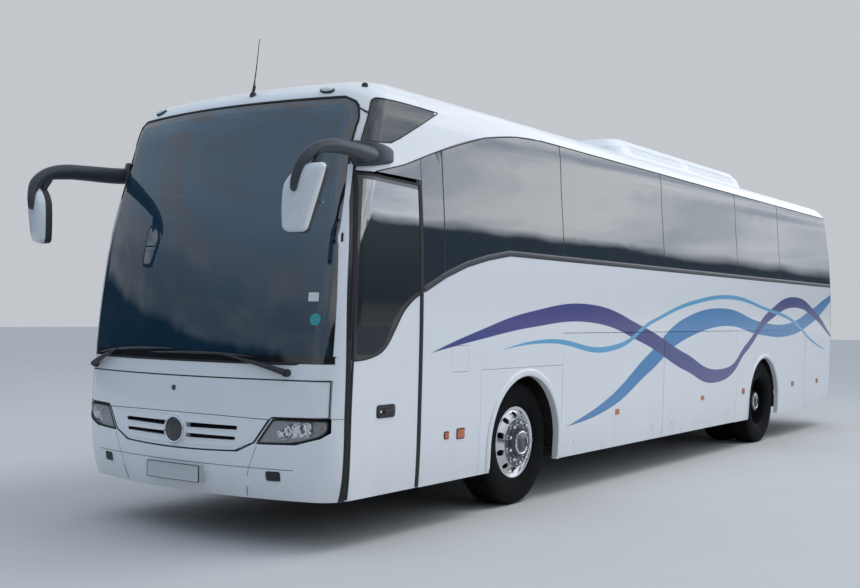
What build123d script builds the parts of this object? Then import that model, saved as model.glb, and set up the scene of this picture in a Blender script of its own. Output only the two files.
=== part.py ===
from build123d import *
import math
import os

os.makedirs("parts", exist_ok=True)

# ------------------------------------------------------------------
# Coach bus. Front faces -Y, the vehicle's left (kerb side with the
# entrance) is +X, +Z is up, the ground is z = 0. Millimetres.
# "s" below is the distance back from the front of the body: y = s - Y_FRONT.
# ------------------------------------------------------------------
Y_FRONT = 5890.0
S_FRONT_AXLE = 2735.0
S_REAR_AXLE = 8835.0
Z_SKIRT = 332.0
Z_FENDER = 1157.0
Z_MOULD = 1439.0
Z_BELT = 2080.0
Z_GUTTER = 3106.0
WALL = 50.0
GLASS = 7.0
GAP = 4.0
TYRE_R = 522.0
TYRE_W = 295.0
RIM_R = 300.0
X_FRONT_WHEEL = 1030.0
X_KINGPIN = 880.0
X_REAR_OUTER = 1066.0
X_REAR_INNER = 726.0
ARCH_R = 562.0
STEER_CLEAR_R = 640.0
S_BUMPER_LINE = 375.0
S_TAIL = 11842.0
FLOOR_Z = 1390.0
COCKPIT_Z = 1000.0

# body stations: height, front on the centre line, half width, rear end
BODY = [
    (240, 125, 1236, 11900), (332, 72, 1250, 11960), (450, 25, 1256, 12060),
    (700, 5, 1263, 12120), (1000, 15, 1269, 12140), (1440, 60, 1275, 12140),
    (1760, 103, 1274, 12132), (2080, 152, 1270, 12115), (2600, 285, 1240, 12065),
    (2900, 380, 1219, 12015), (3105, 455, 1200, 11960), (3160, 487, 1182, 11930),
    (3205, 540, 1145, 11890), (3243, 660, 1070, 11800), (3278, 830, 950, 11660),
    (3308, 1050, 760, 11480), (3330, 1350, 560, 11220), (3341, 1750, 380, 10900)]
FRONT_BOW, FRONT_CORNER = 3800.0, 260.0
REAR_BOW, REAR_CORNER = 6000.0, 200.0


def offset_profile(pts, t):
    """Move a (value, z) profile to its inner side by t."""
    out = []
    for i, (v, z) in enumerate(pts):
        a = pts[max(i - 1, 0)]
        b = pts[min(i + 1, len(pts) - 1)]
        dv, dz = b[0] - a[0], b[1] - a[1]
        n = math.hypot(dv, dz)
        out.append((v - dz / n * t, z + dv / n * t))
    return out


def read_profile(pts, z):
    if z <= pts[0][1]:
        return pts[0][0]
    for (v0, z0), (v1, z1) in zip(pts, pts[1:]):
        if z <= z1:
            return v0 + (v1 - v0) * (z - z0) / (z1 - z0)
    return pts[-1][0]


def plan(z, front, half, rear, t):
    """Plan outline at height z: bowed front, round corners, straight sides."""
    def corner(bow, r):
        a = (half - r) / (1 - r / bow)
        th = math.asin(a / bow)
        b = bow - math.sqrt(bow * bow - a * a)
        mid = (th + math.pi / 2) / 2
        return (a, b,
                a + r * (math.sin(mid) - math.sin(th)), b + r * (math.cos(th) - math.cos(mid)),
                b + r * math.cos(th))
    a, b, mx, ms, e = corner(FRONT_BOW - t, FRONT_CORNER - t)
    c, d, nx, ns, g = corner(REAR_BOW - t, REAR_CORNER - t)
    f, k = front - Y_FRONT, rear - Y_FRONT
    P = lambda x, y: Vector(x, y, z)
    edges = [
        Edge.make_three_point_arc(P(-a, f + b), P(0, f), P(a, f + b)),
        Edge.make_three_point_arc(P(a, f + b), P(mx, f + ms), P(half, f + e)),
        Edge.make_line(P(half, f + e), P(half, k - g)),
        Edge.make_three_point_arc(P(half, k - g), P(nx, k - ns), P(c, k - d)),
        Edge.make_three_point_arc(P(c, k - d), P(0, k), P(-c, k - d)),
        Edge.make_three_point_arc(P(-c, k - d), P(-nx, k - ns), P(-half, k - g)),
        Edge.make_line(P(-half, k - g), P(-half, f + e)),
        Edge.make_three_point_arc(P(-half, f + e), P(-mx, f + ms), P(-a, f + b))]
    return Wire(edges)


def even_rows(rows, n):
    """Respace stations evenly along the skin, so that a smooth loft does not overshoot."""
    run = [0.0]
    for p, q in zip(rows, rows[1:]):
        run.append(run[-1] + math.sqrt((q[0] - p[0]) ** 2 + ((q[1] - p[1]) ** 2 + (q[2] - p[2]) ** 2) / 2))
    out = []
    for i in range(n):
        d = run[-1] * i / (n - 1)
        out.append(tuple(read_profile([(row[k], g) for row, g in zip(rows, run)], d) for k in range(4)))
    return out


def envelope(t):
    """The closed body volume, its skin moved inward by t."""
    width = offset_profile([(w, z) for z, f, w, r in BODY], t)
    rear = offset_profile([(r, z) for z, f, w, r in BODY], t)
    front = offset_profile([(-f, z) for z, f, w, r in BODY], t)
    rows = []
    for z, f, w, r in BODY:
        zi = z - t * min(1.0, max(0.0, (z - 3105) / 150.0))
        rows.append((zi, -read_profile(front, zi), read_profile(width, zi), read_profile(rear, zi)))
    if t > 0:
        rows[0] = (rows[0][0] - 60,) + rows[0][1:]
    lower = even_rows([r for r in rows if r[0] <= 3105.001], 10)
    upper = even_rows([r for r in rows if r[0] >= 3104.999], 7)
    bodies = [Solid.make_loft([plan(z, f, w, r, min(t, 60)) for z, f, w, r in part], False) for part in (lower, upper)]
    return (bodies[0] + bodies[1]).solids()[0]


def path_face(path, place):
    """A face from a closed path of points and ("arc", mid, end) items."""
    start = path[0]
    edges, here = [], start
    for item in path[1:] + [start]:
        if isinstance(item[0], str):
            edges.append(Edge.make_three_point_arc(place(*here), place(*item[1]), place(*item[2])))
            here = item[2]
        else:
            if math.dist(here, item) > 1e-6:
                edges.append(Edge.make_line(place(*here), place(*item)))
            here = item
    return Face(Wire(edges))


def side_prism(path, x0, x1):
    """Prism across the vehicle; path items are (s, z)."""
    return Solid.extrude(path_face(path, lambda s, z: Vector(x0, s - Y_FRONT, z)), Vector(x1 - x0, 0, 0))


def front_prism(path, s0, s1):
    """Prism along the vehicle; path items are (x, z)."""
    return Solid.extrude(path_face(path, lambda x, z: Vector(x, s0 - Y_FRONT, z)), Vector(0, s1 - s0, 0))


def box(x0, x1, s0, s1, z0, z1):
    return Solid.make_box(x1 - x0, s1 - s0, z1 - z0).moved(Location(Vector(x0, s0 - Y_FRONT, z0)))


def cyl_x(x0, x1, s, z, r):
    return Solid.make_cylinder(r, x1 - x0, Plane(origin=(x0, s - Y_FRONT, z), z_dir=(1, 0, 0)))


def cyl_z(x, s, z0, z1, r):
    return Solid.make_cylinder(r, z1 - z0, Plane(origin=(x, s - Y_FRONT, z0), z_dir=(0, 0, 1)))


def cyl_y(x, s0, s1, z, r):
    return Solid.make_cylinder(r, s1 - s0, Plane(origin=(x, s0 - Y_FRONT, z), z_dir=(0, 1, 0)))


def rod(a, b, r):
    """Round bar between two (x, s, z) points."""
    p, q = Vector(a[0], a[1] - Y_FRONT, a[2]), Vector(b[0], b[1] - Y_FRONT, b[2])
    return Solid.make_cylinder(r, (q - p).length, Plane(origin=p, z_dir=(q - p)))


def rounded(path, r):
    """Round every corner of a straight-sided path with radius r."""
    out = []
    n = len(path)
    for i, p in enumerate(path):
        a, b = path[i - 1], path[(i + 1) % n]
        ua = ((a[0] - p[0]), (a[1] - p[1]))
        ub = ((b[0] - p[0]), (b[1] - p[1]))
        la, lb = math.hypot(*ua), math.hypot(*ub)
        ua, ub = (ua[0] / la, ua[1] / la), (ub[0] / lb, ub[1] / lb)
        ang = math.acos(max(-1, min(1, ua[0] * ub[0] + ua[1] * ub[1])))
        rr = r[i] if isinstance(r, (list, tuple)) else r
        cut = min(rr / math.tan(ang / 2), la * 0.45, lb * 0.45)
        rr = cut * math.tan(ang / 2)
        p0 = (p[0] + ua[0] * cut, p[1] + ua[1] * cut)
        p1 = (p[0] + ub[0] * cut, p[1] + ub[1] * cut)
        bis = (ua[0] + ub[0], ua[1] + ub[1])
        lbis = math.hypot(*bis)
        d = rr / math.sin(ang / 2) - rr
        mid = (p[0] + bis[0] / lbis * d, p[1] + bis[1] / lbis * d)
        out += [p0, ("arc", mid, p1)]
    return out


def mirrored(shape):
    return shape.mirror(Plane.YZ)


def solids_of(*shapes):
    out = []
    for shape in shapes:
        if shape is None:
            continue
        if isinstance(shape, (list, tuple)):
            out += solids_of(*shape)
        else:
            out += [b for b in shape.solids() if b.volume > 50]
    return out


def both(*shapes):
    """The pieces and their mirror images on the other side."""
    left = solids_of(*shapes)
    return left + [mirrored(b) for b in left]


def cut(base, *tools):
    tools = solids_of(*tools)
    out = []
    for b in solids_of(base):
        r = b
        for t in tools:
            rs = []
            for piece in solids_of(r):
                rs += solids_of(piece - t)
            r = rs
        out += solids_of(r)
    return out


def common(base, tool):
    out = []
    for b in solids_of(base):
        for t in solids_of(tool):
            r = b & t
            if r is not None:
                out += solids_of(r)
    return out


def fuse(*shapes):
    bodies = solids_of(*shapes)
    r = bodies[0]
    for b in bodies[1:]:
        r = r + b
    return solids_of(r)


NODES = {}


def node(name, *shapes):
    NODES[name] = solids_of(*shapes)


# ------------------------------------------------------------------
# Envelope, inner face of the walls, and the layers for the glass
# ------------------------------------------------------------------
OUTER = envelope(0)
INNER = envelope(WALL)
UNDER_GLASS = envelope(GLASS)
UNDER_GAP = envelope(GLASS + 1.5)


def wall(region):
    """The full wall inside a region."""
    return cut(common(region, OUTER), INNER)


def pane(region):
    """The outer glass layer inside a region."""
    return cut(common(region, OUTER), UNDER_GLASS)


def backing(region):
    """The wall behind the glass inside a region."""
    return cut(common(region, UNDER_GAP), INNER)


X_OUT = 1400.0
# outlines in side view, (s, z)
WINDSCREEN_SIDE = [(283, 1250), (310, 1630), (372, 2100), (466, 2543), (528, 2773), (606, 3030), (612, 3104)]
STRIP_REAR = [(381, 330), (411, 1630), (510, 2560)]


def swoop_low(d=0.0):
    """Lower edge of the side glass behind the entrance, rearward to the belt line."""
    return (1206, 1752 + d), ("arc", (1790, 1966 + d), (2430, Z_BELT + d))


def swoop_top(d=0.0):
    """Upper edge of the side glass, from the front tip up to the gutter line."""
    return (640, 2566 + d), ("arc", (1000, 2657 + d), (1380, 2792 + d)), ("arc", (2100, 3004 + d), (3050, Z_GUTTER - 3 + d))


def glass_band(inset_low, inset_top, s0, s1):
    """Side glass area between two stations behind the entrance."""
    low = [(1206, 1752 + inset_low), ("arc", (1790, 1966 + inset_low), (2430, Z_BELT + inset_low)), (S_TAIL, Z_BELT + inset_low)]
    path = low + [(S_TAIL, Z_GUTTER - 3 - inset_top), (3050, Z_GUTTER - 3 - inset_top),
                  ("arc", (2100, 3004 - inset_top), (1380, 2792 - inset_top)), (1206, 2728 - inset_top)]
    whole = side_prism(path, 900, X_OUT)
    return common(whole, box(880, X_OUT + 20, s0, s1, 1500, 3300))


def door_path(d):
    """Outline of the entrance opening in side view, grown by d."""
    return [(386 - d, 335 - d), ("arc", (416 - d, 1630), (515 - d, 2554 + d)), (1197 + d, 2536 + d), (1197 + d, 335 - d)]


# ------------------------------------------------------------------
# Front end
# ------------------------------------------------------------------
ws_path = [(-300, 1250), (283, 1250), ("arc", (372, 2100), (528, 2773)), ("arc", (585, 2930), (608, 3040)),
           ("arc", (598, 3085), (560, 3104)), (-300, 3104)]
windscreen_region = side_prism(ws_path, -X_OUT, X_OUT)
node("windscreen", pane(windscreen_region))

# frame rails behind the glass edge of the windscreen
ws_inner_path = [(-300, 1300), (232, 1300), ("arc", (318, 2080), (460, 2700)), ("arc", (510, 2860), (535, 2960)),
                 ("arc", (525, 3015), (480, 3040)), (-300, 3040)]
ws_hole = side_prism(ws_inner_path, -X_OUT, X_OUT)

# hinged front flap: wide strip over the lamps, carrying the grille panel between them
flap_path = [(1205, 1137), (1205, 893), (819, 887), (696, 714), (558, 650), ("arc", (0, 636), (-558, 650)),
             (-696, 714), (-819, 887), (-1205, 893), (-1205, 1137)]
flap_big = [(1210, 1142), (1210, 888), (824, 882), (701, 710), (561, 644), ("arc", (0, 630), (-561, 644)),
            (-701, 710), (-824, 882), (-1210, 888), (-1210, 1142)]
flap_region = front_prism(flap_path, -200, 330)
flap_region_big = front_prism(flap_big, -200, 345)
grille_path = [(800, 872), (690, 716), (556, 660), ("arc", (0, 646), (-556, 660)), (-690, 716), (-800, 872),
               ("arc", (0, 884), (800, 872))]
grille_region = front_prism(grille_path, -200, 330)
flap_wall = cut(wall(flap_region), grille_region)
S_FLAP_PIVOT, Z_FLAP_PIVOT, FLAP_ARM = 235.0, 1095.0, 300.0
flap_lugs = []
for x in (-450, 450):
    lug = box(x - 14, x + 14, 60, S_FLAP_PIVOT + 22, 850, 889)
    lug2 = box(x - 14, x + 14, S_FLAP_PIVOT - 22, S_FLAP_PIVOT + 22, Z_FLAP_PIVOT - FLAP_ARM - 22, 889)
    lug = fuse(lug, lug2)
    flap_lugs += cut(common(lug, UNDER_GAP), cyl_x(x - 30, x + 30, S_FLAP_PIVOT, Z_FLAP_PIVOT - FLAP_ARM, 10.3))
flap_back = common(front_prism([(-620, 888), (620, 888), (620, 850), (-620, 850)], -200, 330), envelope(20))
flap_back = cut(flap_back, INNER)
node("front_flap", fuse(flap_wall, flap_back, flap_lugs))
flap_arms = [cyl_x(-520, 520, S_FLAP_PIVOT, Z_FLAP_PIVOT, 14)]
for x in (-450, 450):
    sx = 1 if x > 0 else -1
    flap_arms.append(rod((x - sx * 34, S_FLAP_PIVOT, Z_FLAP_PIVOT), (x - sx * 34, S_FLAP_PIVOT, Z_FLAP_PIVOT - FLAP_ARM), 12))
    flap_arms.append(cyl_x(min(x - sx * 34, x + sx * 20), max(x - sx * 34, x + sx * 20), S_FLAP_PIVOT, Z_FLAP_PIVOT - FLAP_ARM, 10))
node("front_flap_arms", fuse(flap_arms))
slots = []
for z0, z1, x_in, x_out in ((782, 818, 95, 560), (712, 744, 95, 545)):
    for side in (1, -1):
        p = rounded([(side * x_in, z0), (side * x_out, z0 + 6), (side * x_out, z1), (side * x_in, z1)], 12)
        slots.append(front_prism(p, -200, 330))
node("grille", cut(wall(grille_region), slots, flap_back, flap_lugs))

# headlamps
lamp_path = [(834, 876), (712, 706), (1000, 716), (1160, 762), (1208, 800), (1208, 882)]
lamp_big = [(831, 884), (703, 702), (1001, 711), (1163, 758), (1213, 797), (1213, 887)]
lamp_region = front_prism(lamp_path, -200, 420)
lamp_region_big = front_prism(lamp_big, -200, 420)
node("headlamps", both(wall(lamp_region)))

# bumper, round the corners to the entrance
bumper_side = [(-300, 331), (S_BUMPER_LINE + 1, 331), (S_BUMPER_LINE + 1, 884), (-300, 884)]
bumper = wall(side_prism(bumper_side, -X_OUT, X_OUT))
# its panels meet in hair joints either side of a narrow strip, and the strip
# leaves a square hatch open for the screw-in towing eye
bumper = cut(bumper, flap_region_big, lamp_region_big, mirrored(lamp_region_big))
tow_strip = cut(common(bumper, box(590, 650, -300, 420, 300, 900)), box(580, 660, -60, 149, 415, 475))
node("front_bumper", cut(bumper, box(589.7, 650.3, -300, 420, 300, 900)), tow_strip)

# screen surround, corner pillars and the strip under the windscreen
fp_path = [(-300, 1247), (279, 1247), ("arc", (368, 2100), (524, 2773)), ("arc", (578, 2925), (602, 3008)), (640, 2985),
           (660, 3040), (572, 2772), (510, 2562), ("arc", (411, 1630), (385, 888)), (-300, 888)]
corner_path = [(200, 888), (376, 888), ("arc", (408, 1630), (509, 2562)), (574, 2770), (652, 3000), (640, 2988),
               (605, 3012), ("arc", (588, 2930), (532, 2773)), ("arc", (376, 2100), (287, 1247)), (-300, 1247), (-300, 888)]
corner_region = side_prism(corner_path, -X_OUT, X_OUT)
front_shell = cut(wall(corner_region), flap_region_big)
ws_rim = cut(backing(windscreen_region), ws_hole)

# ------------------------------------------------------------------
# Roof
# ------------------------------------------------------------------
quarter = rounded([(573, 2776), (850, 2786), (1462, 3100), (1040, 3108), (694, 3096)], [14, 120, 18, 900, 60])
quarter_region = side_prism(quarter, 900, X_OUT)
quarter_hole = side_prism(rounded([(620, 2810), (845, 2818), (1390, 3085), (1040, 3085), (715, 3070)], [20, 90, 14, 500, 40]), 900, X_OUT)
cap_path = [(-300, 3600), (-300, 3107), (562, 3107), ("arc", (602, 3087), (612, 3040)), (607, 3015), (641, 2990), (730, 3040), (1248, 3040), (1248, 3600)]
roof_path = [(1251, 3600), (1251, 3040), (730, 3036), (645, 2985), (577, 2768), (514, 2565), (640, 2566),
             ("arc", (1000, 2657), (1380, 2792)), ("arc", (2100, 3004), (3050, Z_GUTTER)), (12300, Z_GUTTER), (12300, 3600)]
cap = wall(side_prism(cap_path, -X_OUT, X_OUT))
roof = wall(side_prism(roof_path, -X_OUT, X_OUT))
quarter_cut = [quarter_region, mirrored(quarter_region)]
hatch_holes, hatch_lids = [], []
HATCHES = ((3650, "front"), (10300, "rear"))
for s, name in HATCHES:
    hatch_holes.append(box(-390, 390, s - 390, s + 390, 3200, 3450))
cap_parts = cut(cap, quarter_cut)
roof_parts = cut(roof, quarter_cut, hatch_holes)
quarter_rim = cut(backing(quarter_region), quarter_hole)
quarter_rims = [quarter_rim, [mirrored(b) for b in quarter_rim]]
roof_all = fuse(roof_parts, quarter_rims)
node("front_cap", cap_parts)
node("roof_shell", roof_all)
node("front_panel", cut(fuse(front_shell, ws_rim), cap, roof, quarter_cut, quarter_rims))

for s, name in HATCHES:
    lid = fuse(box(-430, 430, s - 430, s + 430, 3352, 3388), box(-380, 380, s - 380, s + 380, 3300, 3353))
    node(name + "_hatch", lid)

# roof climate unit
AC_S0, AC_S1 = 5450.0, 9300.0
ac_rows = ((3326, 800, 0), (3430, 770, 40), (3520, 690, 110), (3548, 560, 230))
ac_wires = []
for z, hw, ins in ac_rows:
    p = rounded([(-hw, AC_S0 + ins), (hw, AC_S0 + ins), (hw, AC_S1 - ins), (-hw, AC_S1 - ins)], 140)
    here, edges = p[0], []
    for item in p[1:] + [p[0]]:
        P = lambda q: Vector(q[0], q[1] - Y_FRONT, z)
        if isinstance(item[0], str):
            edges.append(Edge.make_three_point_arc(P(here), P(item[1]), P(item[2])))
            here = item[2]
        else:
            edges.append(Edge.make_line(P(here), P(item)))
            here = item
    ac_wires.append(Wire(edges))
ac = Solid.make_loft(ac_wires, True)
node("climate_unit", cut(ac, OUTER, box(-640, 640, AC_S0 + 200, AC_S1 - 200, 3200, 3480)))

# ------------------------------------------------------------------
# Side walls
# ------------------------------------------------------------------
side_path = [(1206, 332), (2006, 332), (2006, Z_FENDER + 3), (3353, Z_FENDER + 3), (3353, Z_MOULD + 2), (10573, Z_MOULD + 2),
             (10573, 372), (10620, 374), (S_TAIL - 3, 468), (S_TAIL - 3, Z_BELT - 2), (2430, Z_BELT - 2),
             ("arc", (1790, 1964), (1206, 1750))]
MULLIONS = (1482, 3360, 5588, 7815, 9440)
band_in = glass_band(30, 70, 1262, S_TAIL - 80)
windows = []
stops = [1206] + list(MULLIONS) + [S_TAIL]
for a, b in zip(stops, stops[1:]):
    windows.append(common(band_in, box(880, X_OUT + 20, a + (60 if a > 1206 else 0), b - (60 if b < S_TAIL else 0), 1500, 3300)))
band_full = glass_band(-2, 0, 1206, S_TAIL - 3)
frame_left = cut(backing(band_full), windows)
FUEL = (1590, 1815, 1155, 1352)
fuel_big = side_prism([(FUEL[0] - 3, FUEL[2] - 3), (FUEL[1] + 3, FUEL[2] - 3), (FUEL[1] + 3, FUEL[3] + 3), (FUEL[0] - 3, FUEL[3] + 3)], 1000, X_OUT)
fuel_region = side_prism([(FUEL[0], FUEL[2]), (FUEL[1], FUEL[2]), (FUEL[1], FUEL[3]), (FUEL[0], FUEL[3])], 1000, X_OUT)
side_left = cut(wall(side_prism(side_path, 900, X_OUT)), fuel_big)
left_wall = cut(fuse(side_left, frame_left), roof)
node("left_sidewall", left_wall)
filler = cyl_x(1150, 1200, 1700, 1255, 60)
node("filler_flap", common(cut(wall(fuel_region), box(0, 1500, 0, 12000, 0, 500)), box(1225, 1400, 1500, 1900, 1100, 1400)))

# offside: wall and cab window in place of the entrance
cab_low = [(390, 1275), (520, 1280), ("arc", (690, 1310), (800, 1400)), ("arc", (960, 1610), (1203, 1750))]
cab_hole_path = [(458, 1320), (530, 1322), ("arc", (665, 1345), (760, 1430)), ("arc", (920, 1650), (1150, 1775)), (1150, 2480), (555, 2495), ("arc", (470, 1900), (458, 1320))]
cab_path = [(389, 335), ("arc", (414, 1630), (515, 2554)), (1203, 2540), (1203, 335)]
cab_glass_path = [(398, 1278), (520, 1280), ("arc", (690, 1310), (800, 1400)), ("arc", (960, 1610), (1202, 1748)), (1202, 2556),
                  (640, 2562), (521, 2562), ("arc", (437, 1950), (398, 1278))]
cab_low_path = [(389, 335), ("arc", (390, 800), (396, 1272)), (520, 1275), ("arc", (690, 1306), (802, 1396)), ("arc", (962, 1606), (1206, 1747)), (1206, 335)]
cab_lower = wall(side_prism(cab_low_path, 900, X_OUT))
cab_frame = cut(backing(side_prism([(396, 1271)] + cab_glass_path[1:], 900, X_OUT)), side_prism(cab_hole_path, 900, X_OUT))
side_right = wall(side_prism(side_path, 900, X_OUT))
right_wall = cut(fuse(side_right, frame_left, cab_lower, cab_frame), roof)
node("right_sidewall", [mirrored(b) for b in right_wall])

# lower panels round the wheels
def arch(s, r):
    return [(s + r, 200), (s + r, TYRE_R), ("arc", (s, TYRE_R + r), (s - r, TYRE_R)), (s - r, 200)]

front_fender = side_prism([(2009, 332), (3350, 332), (3350, Z_FENDER), (2009, Z_FENDER)], 900, X_OUT)
rear_fender = side_prism([(7799, 332), (8262, 332), (9408, 345), (10570, 369), (10570, Z_MOULD - 1), (7799, Z_MOULD - 1)], 900, X_OUT)
arch_cut = [side_prism(arch(S_FRONT_AXLE, ARCH_R), 900, X_OUT), side_prism(arch(S_REAR_AXLE, ARCH_R), 900, X_OUT)]
fenders = cut([b for r in (front_fender, rear_fender) for b in wall(r)], arch_cut)
node("left_wheel_panels", fenders)
node("right_wheel_panels", [mirrored(b) for b in fenders])

# luggage doors: name part, first and last station
DOORS = (("front", 3356, 5589), ("rear", 5598, 7793))
for name, a, b in DOORS:
    leaf = wall(side_prism([(a, 336), (b, 336), (b, Z_MOULD - 3), (a, Z_MOULD - 3)], 900, X_OUT))
    node("left_%s_luggage_door" % name, leaf)
    node("right_%s_luggage_door" % name, [mirrored(p) for p in leaf])

# side glass
panes = []
for a, b in zip(stops, stops[1:]):
    panes += cut(common(glass_band(3, 1, a + (GAP if a > 1206 else 0), b - GAP), OUTER), UNDER_GLASS)
tip = pane(side_prism([(650, 2571), ("arc", (1000, 2654), (1199, 2722)), (1199, 2545 + 22), (1199, 2567)], 900, X_OUT))
quarter_pane = pane(quarter_region)
panes, tip = cut(panes, roof), cut(tip, roof)
node("left_windows", panes, tip, quarter_pane)
cab_pane = pane(side_prism(cab_glass_path, 900, X_OUT))
node("right_windows", [mirrored(b) for b in solids_of(panes, tip, quarter_pane, cab_pane)])

# ------------------------------------------------------------------
# Entrance door: leaf, glass and swing arms
# ------------------------------------------------------------------
leaf = wall(side_prism(door_path(0), 900, X_OUT))
glass_hole = side_prism([(458, 1325), (545, 1330), ("arc", (668, 1350), (760, 1430)), ("arc", (925, 1655), (1148, 1775)), (1148, 2472), (566, 2490), ("arc", (480, 1900), (458, 1325))], 900, X_OUT)
glass_seat = side_prism([(440, 1306), (545, 1311), ("arc", (680, 1332), (774, 1414)), ("arc", (936, 1637), (1166, 1757)), (1166, 2492), (549, 2510), ("arc", (462, 1900), (440, 1306))], 900, X_OUT)
S_COLUMN, X_COLUMN = 560.0, 1090.0
S_PIVOT, X_PIVOT = 1008.0, 1051.0
DOOR_ARM_Z = (760.0, 1960.0)
leaf_body = cut(leaf, glass_hole, cut(common(glass_seat, OUTER), UNDER_GAP))
lugs = []
for z in DOOR_ARM_Z:
    lug = box(X_PIVOT - 30, 1236, S_PIVOT - 30, S_PIVOT + 30, z - 12, z + 12)
    lug = cut(lug, cyl_z(X_PIVOT, S_PIVOT, z - 40, z + 40, 12.3))
    lugs += lug
upper_bar = backing(side_prism([(900, 1945), (1150, 1945), (1150, 1975), (900, 1975)], 900, X_OUT))
node("entrance_door", fuse(leaf_body, upper_bar, common(lugs, UNDER_GAP)))
node("entrance_door_glass", cut(pane(glass_seat)))
arms = [cyl_z(X_COLUMN, S_COLUMN, 420, 2440, 24)]
for z in DOOR_ARM_Z:
    arms.append(rod((X_COLUMN, S_COLUMN, z + 30), (X_PIVOT, S_PIVOT, z + 30), 14))
    arms.append(cyl_z(X_PIVOT, S_PIVOT, z + 12.5, z + 46, 26))
    arms.append(cyl_z(X_PIVOT, S_PIVOT, z - 20, z + 20, 12))
node("door_arms", fuse(arms))

# ------------------------------------------------------------------
# Rear end
# ------------------------------------------------------------------
rear_side = [(S_TAIL, 469), (12300, 505), (12300, Z_GUTTER - 3), (S_TAIL, Z_GUTTER - 3)]
rear_region = side_prism(rear_side, -X_OUT, X_OUT)
lid_path = rounded([(-860, 790), (860, 790), (860, 1840), (-860, 1840)], 60)
lid_big = rounded([(-865, 785), (865, 785), (865, 1845), (-865, 1845)], 64)
window_path = rounded([(-1060, 2130), (1060, 2130), (1010, 3010), (-1010, 3010)], 90)
window_hole = rounded([(-1020, 2170), (1020, 2170), (972, 2970), (-972, 2970)], 70)
tail_path = rounded([(1010, 800), (1300, 800), (1300, 1560), (1010, 1560)], 30)
tail_big = [(1007, 797), (1300, 797), (1300, 1563), (1007, 1563)]
R0, R1 = 11900, 12300
tail_region = common(side_prism([(11945, 700), (12300, 700), (12300, 1700), (11945, 1700)], 900, X_OUT), front_prism(tail_big, R0, R1))
tail_small = common(side_prism([(11948, 700), (12300, 700), (12300, 1700), (11948, 1700)], 900, X_OUT),
                    front_prism([(1010, 800), (1300, 800), (1300, 1560), (1010, 1560)], R0, R1))
rear_shell = cut(wall(rear_region), front_prism(lid_big, R0, R1), cut(common(front_prism(window_path, R0, R1), OUTER), UNDER_GAP),
                 front_prism(window_hole, R0, R1), tail_region, mirrored(tail_region[0]))
node("rear_panel", rear_shell)
node("rear_window", pane(front_prism(window_path, R0, R1)))
node("tail_lamps", both(wall(tail_small)))
node("engine_lid", wall(front_prism(lid_path, R0, R1)))

# ------------------------------------------------------------------
# Structure, floors, luggage bay
# ------------------------------------------------------------------
rails = []
for x0, x1 in ((-470, -400), (400, 470)):
    rails.append(box(x0, x1, 420, 3330, 700, 840))
    rails.append(box(x0, x1, 8100, 11780, 820, 960))
for s in (440, 1500, 2150, 3250):
    rails.append(box(-470, 470, s, s + 60, 720, 800))
for s in (8160, 9500, 10300, 11700):
    rails.append(box(-470, 470, s, s + 60, 840, 920))
for s in (3360, 4460, 5564, 6660, 7740):
    rails.append(box(-1185, 1185, s, s + 60, 345, 405))
for x in (-1000, -30, 940):
    rails.append(box(x, x + 60, 3360, 7800, 345, 405))
for x in (-435, 435):
    rails.append(box(x - 50, x + 50, 1900, 2020, 655, 702))
    rails.append(box(x - 50, x + 50, 9700, 9820, 775, 822))
tow_block = box(560, 680, 172, 430, 385, 505)
tow_arm = [box(600, 660, 425, 520, 420, 505), box(410, 660, 500, 560, 420, 505), box(410, 470, 500, 560, 420, 760)]
tow = fuse(tow_block, tow_arm)
tow = cut(tow, rod((620, 100, 445), (620, 292, 445), 20))
link = [box(-470, -400, 3270, 3420, 345, 840), box(400, 470, 3270, 3420, 345, 840), box(-470, -400, 7740, 8160, 345, 960), box(400, 470, 7740, 8160, 345, 960)]
node("chassis_frame", fuse(rails, tow, link))

def inside(shape):
    return common(shape, INNER_FIT)

INNER_FIT = envelope(WALL + 12)
deck = [box(-1250, 1250, 1960, 11950, FLOOR_Z - 50, FLOOR_Z)]
cockpit = [box(-1250, 330, 350, 1960, COCKPIT_Z - 40, COCKPIT_Z), box(-1250, 1250, 1915, 1960, COCKPIT_Z - 40, FLOOR_Z)]
nose_floor = [box(330, 1250, 350, 430, COCKPIT_Z - 40, COCKPIT_Z), box(330, 1250, 1180, 1916, COCKPIT_Z - 40, COCKPIT_Z)]
well = [box(330, 370, 429, 1181, 340, COCKPIT_Z), box(330, 1180, 1140, 1181, 340, COCKPIT_Z), box(330, 1180, 429, 470, 340, COCKPIT_Z)]
steps = []
for i, (x0, x1, z) in enumerate(((370, 1020, 400), (370, 830, 560), (370, 640, 720), (370, 470, 880))):
    z_low = 360 if i == 0 else (400, 560, 720)[i - 1]
    steps.append(box(x0, x1, 470, 1140, z_low, z))
step_floor = [box(330, 1180, 429, 1181, 360, 400)]
column_clear = cyl_z(X_COLUMN, S_COLUMN, 405, 2600, 32)
floor = fuse([common(b, INNER_FIT) for b in fuse(deck, cockpit, nose_floor)], [common(b, INNER_FIT) for b in fuse(well, steps, step_floor)])
node("floor_deck", cut(floor, column_clear, rails, tow, link))

bay = [box(-1180, 1180, 3392, 7780, 406, 440)]
for s in (3392, 5574, 7750):
    bay.append(box(-1180, 1180, s, s + 30, 440, FLOOR_Z - 52))
bay_fit = [common(b, INNER_FIT) for b in fuse(bay)]
node("luggage_bay", cut(bay_fit, link, rails, box(-1300, -1185, 3300, 7900, 300, 1400), box(1185, 1300, 3300, 7900, 300, 1400)))

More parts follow.
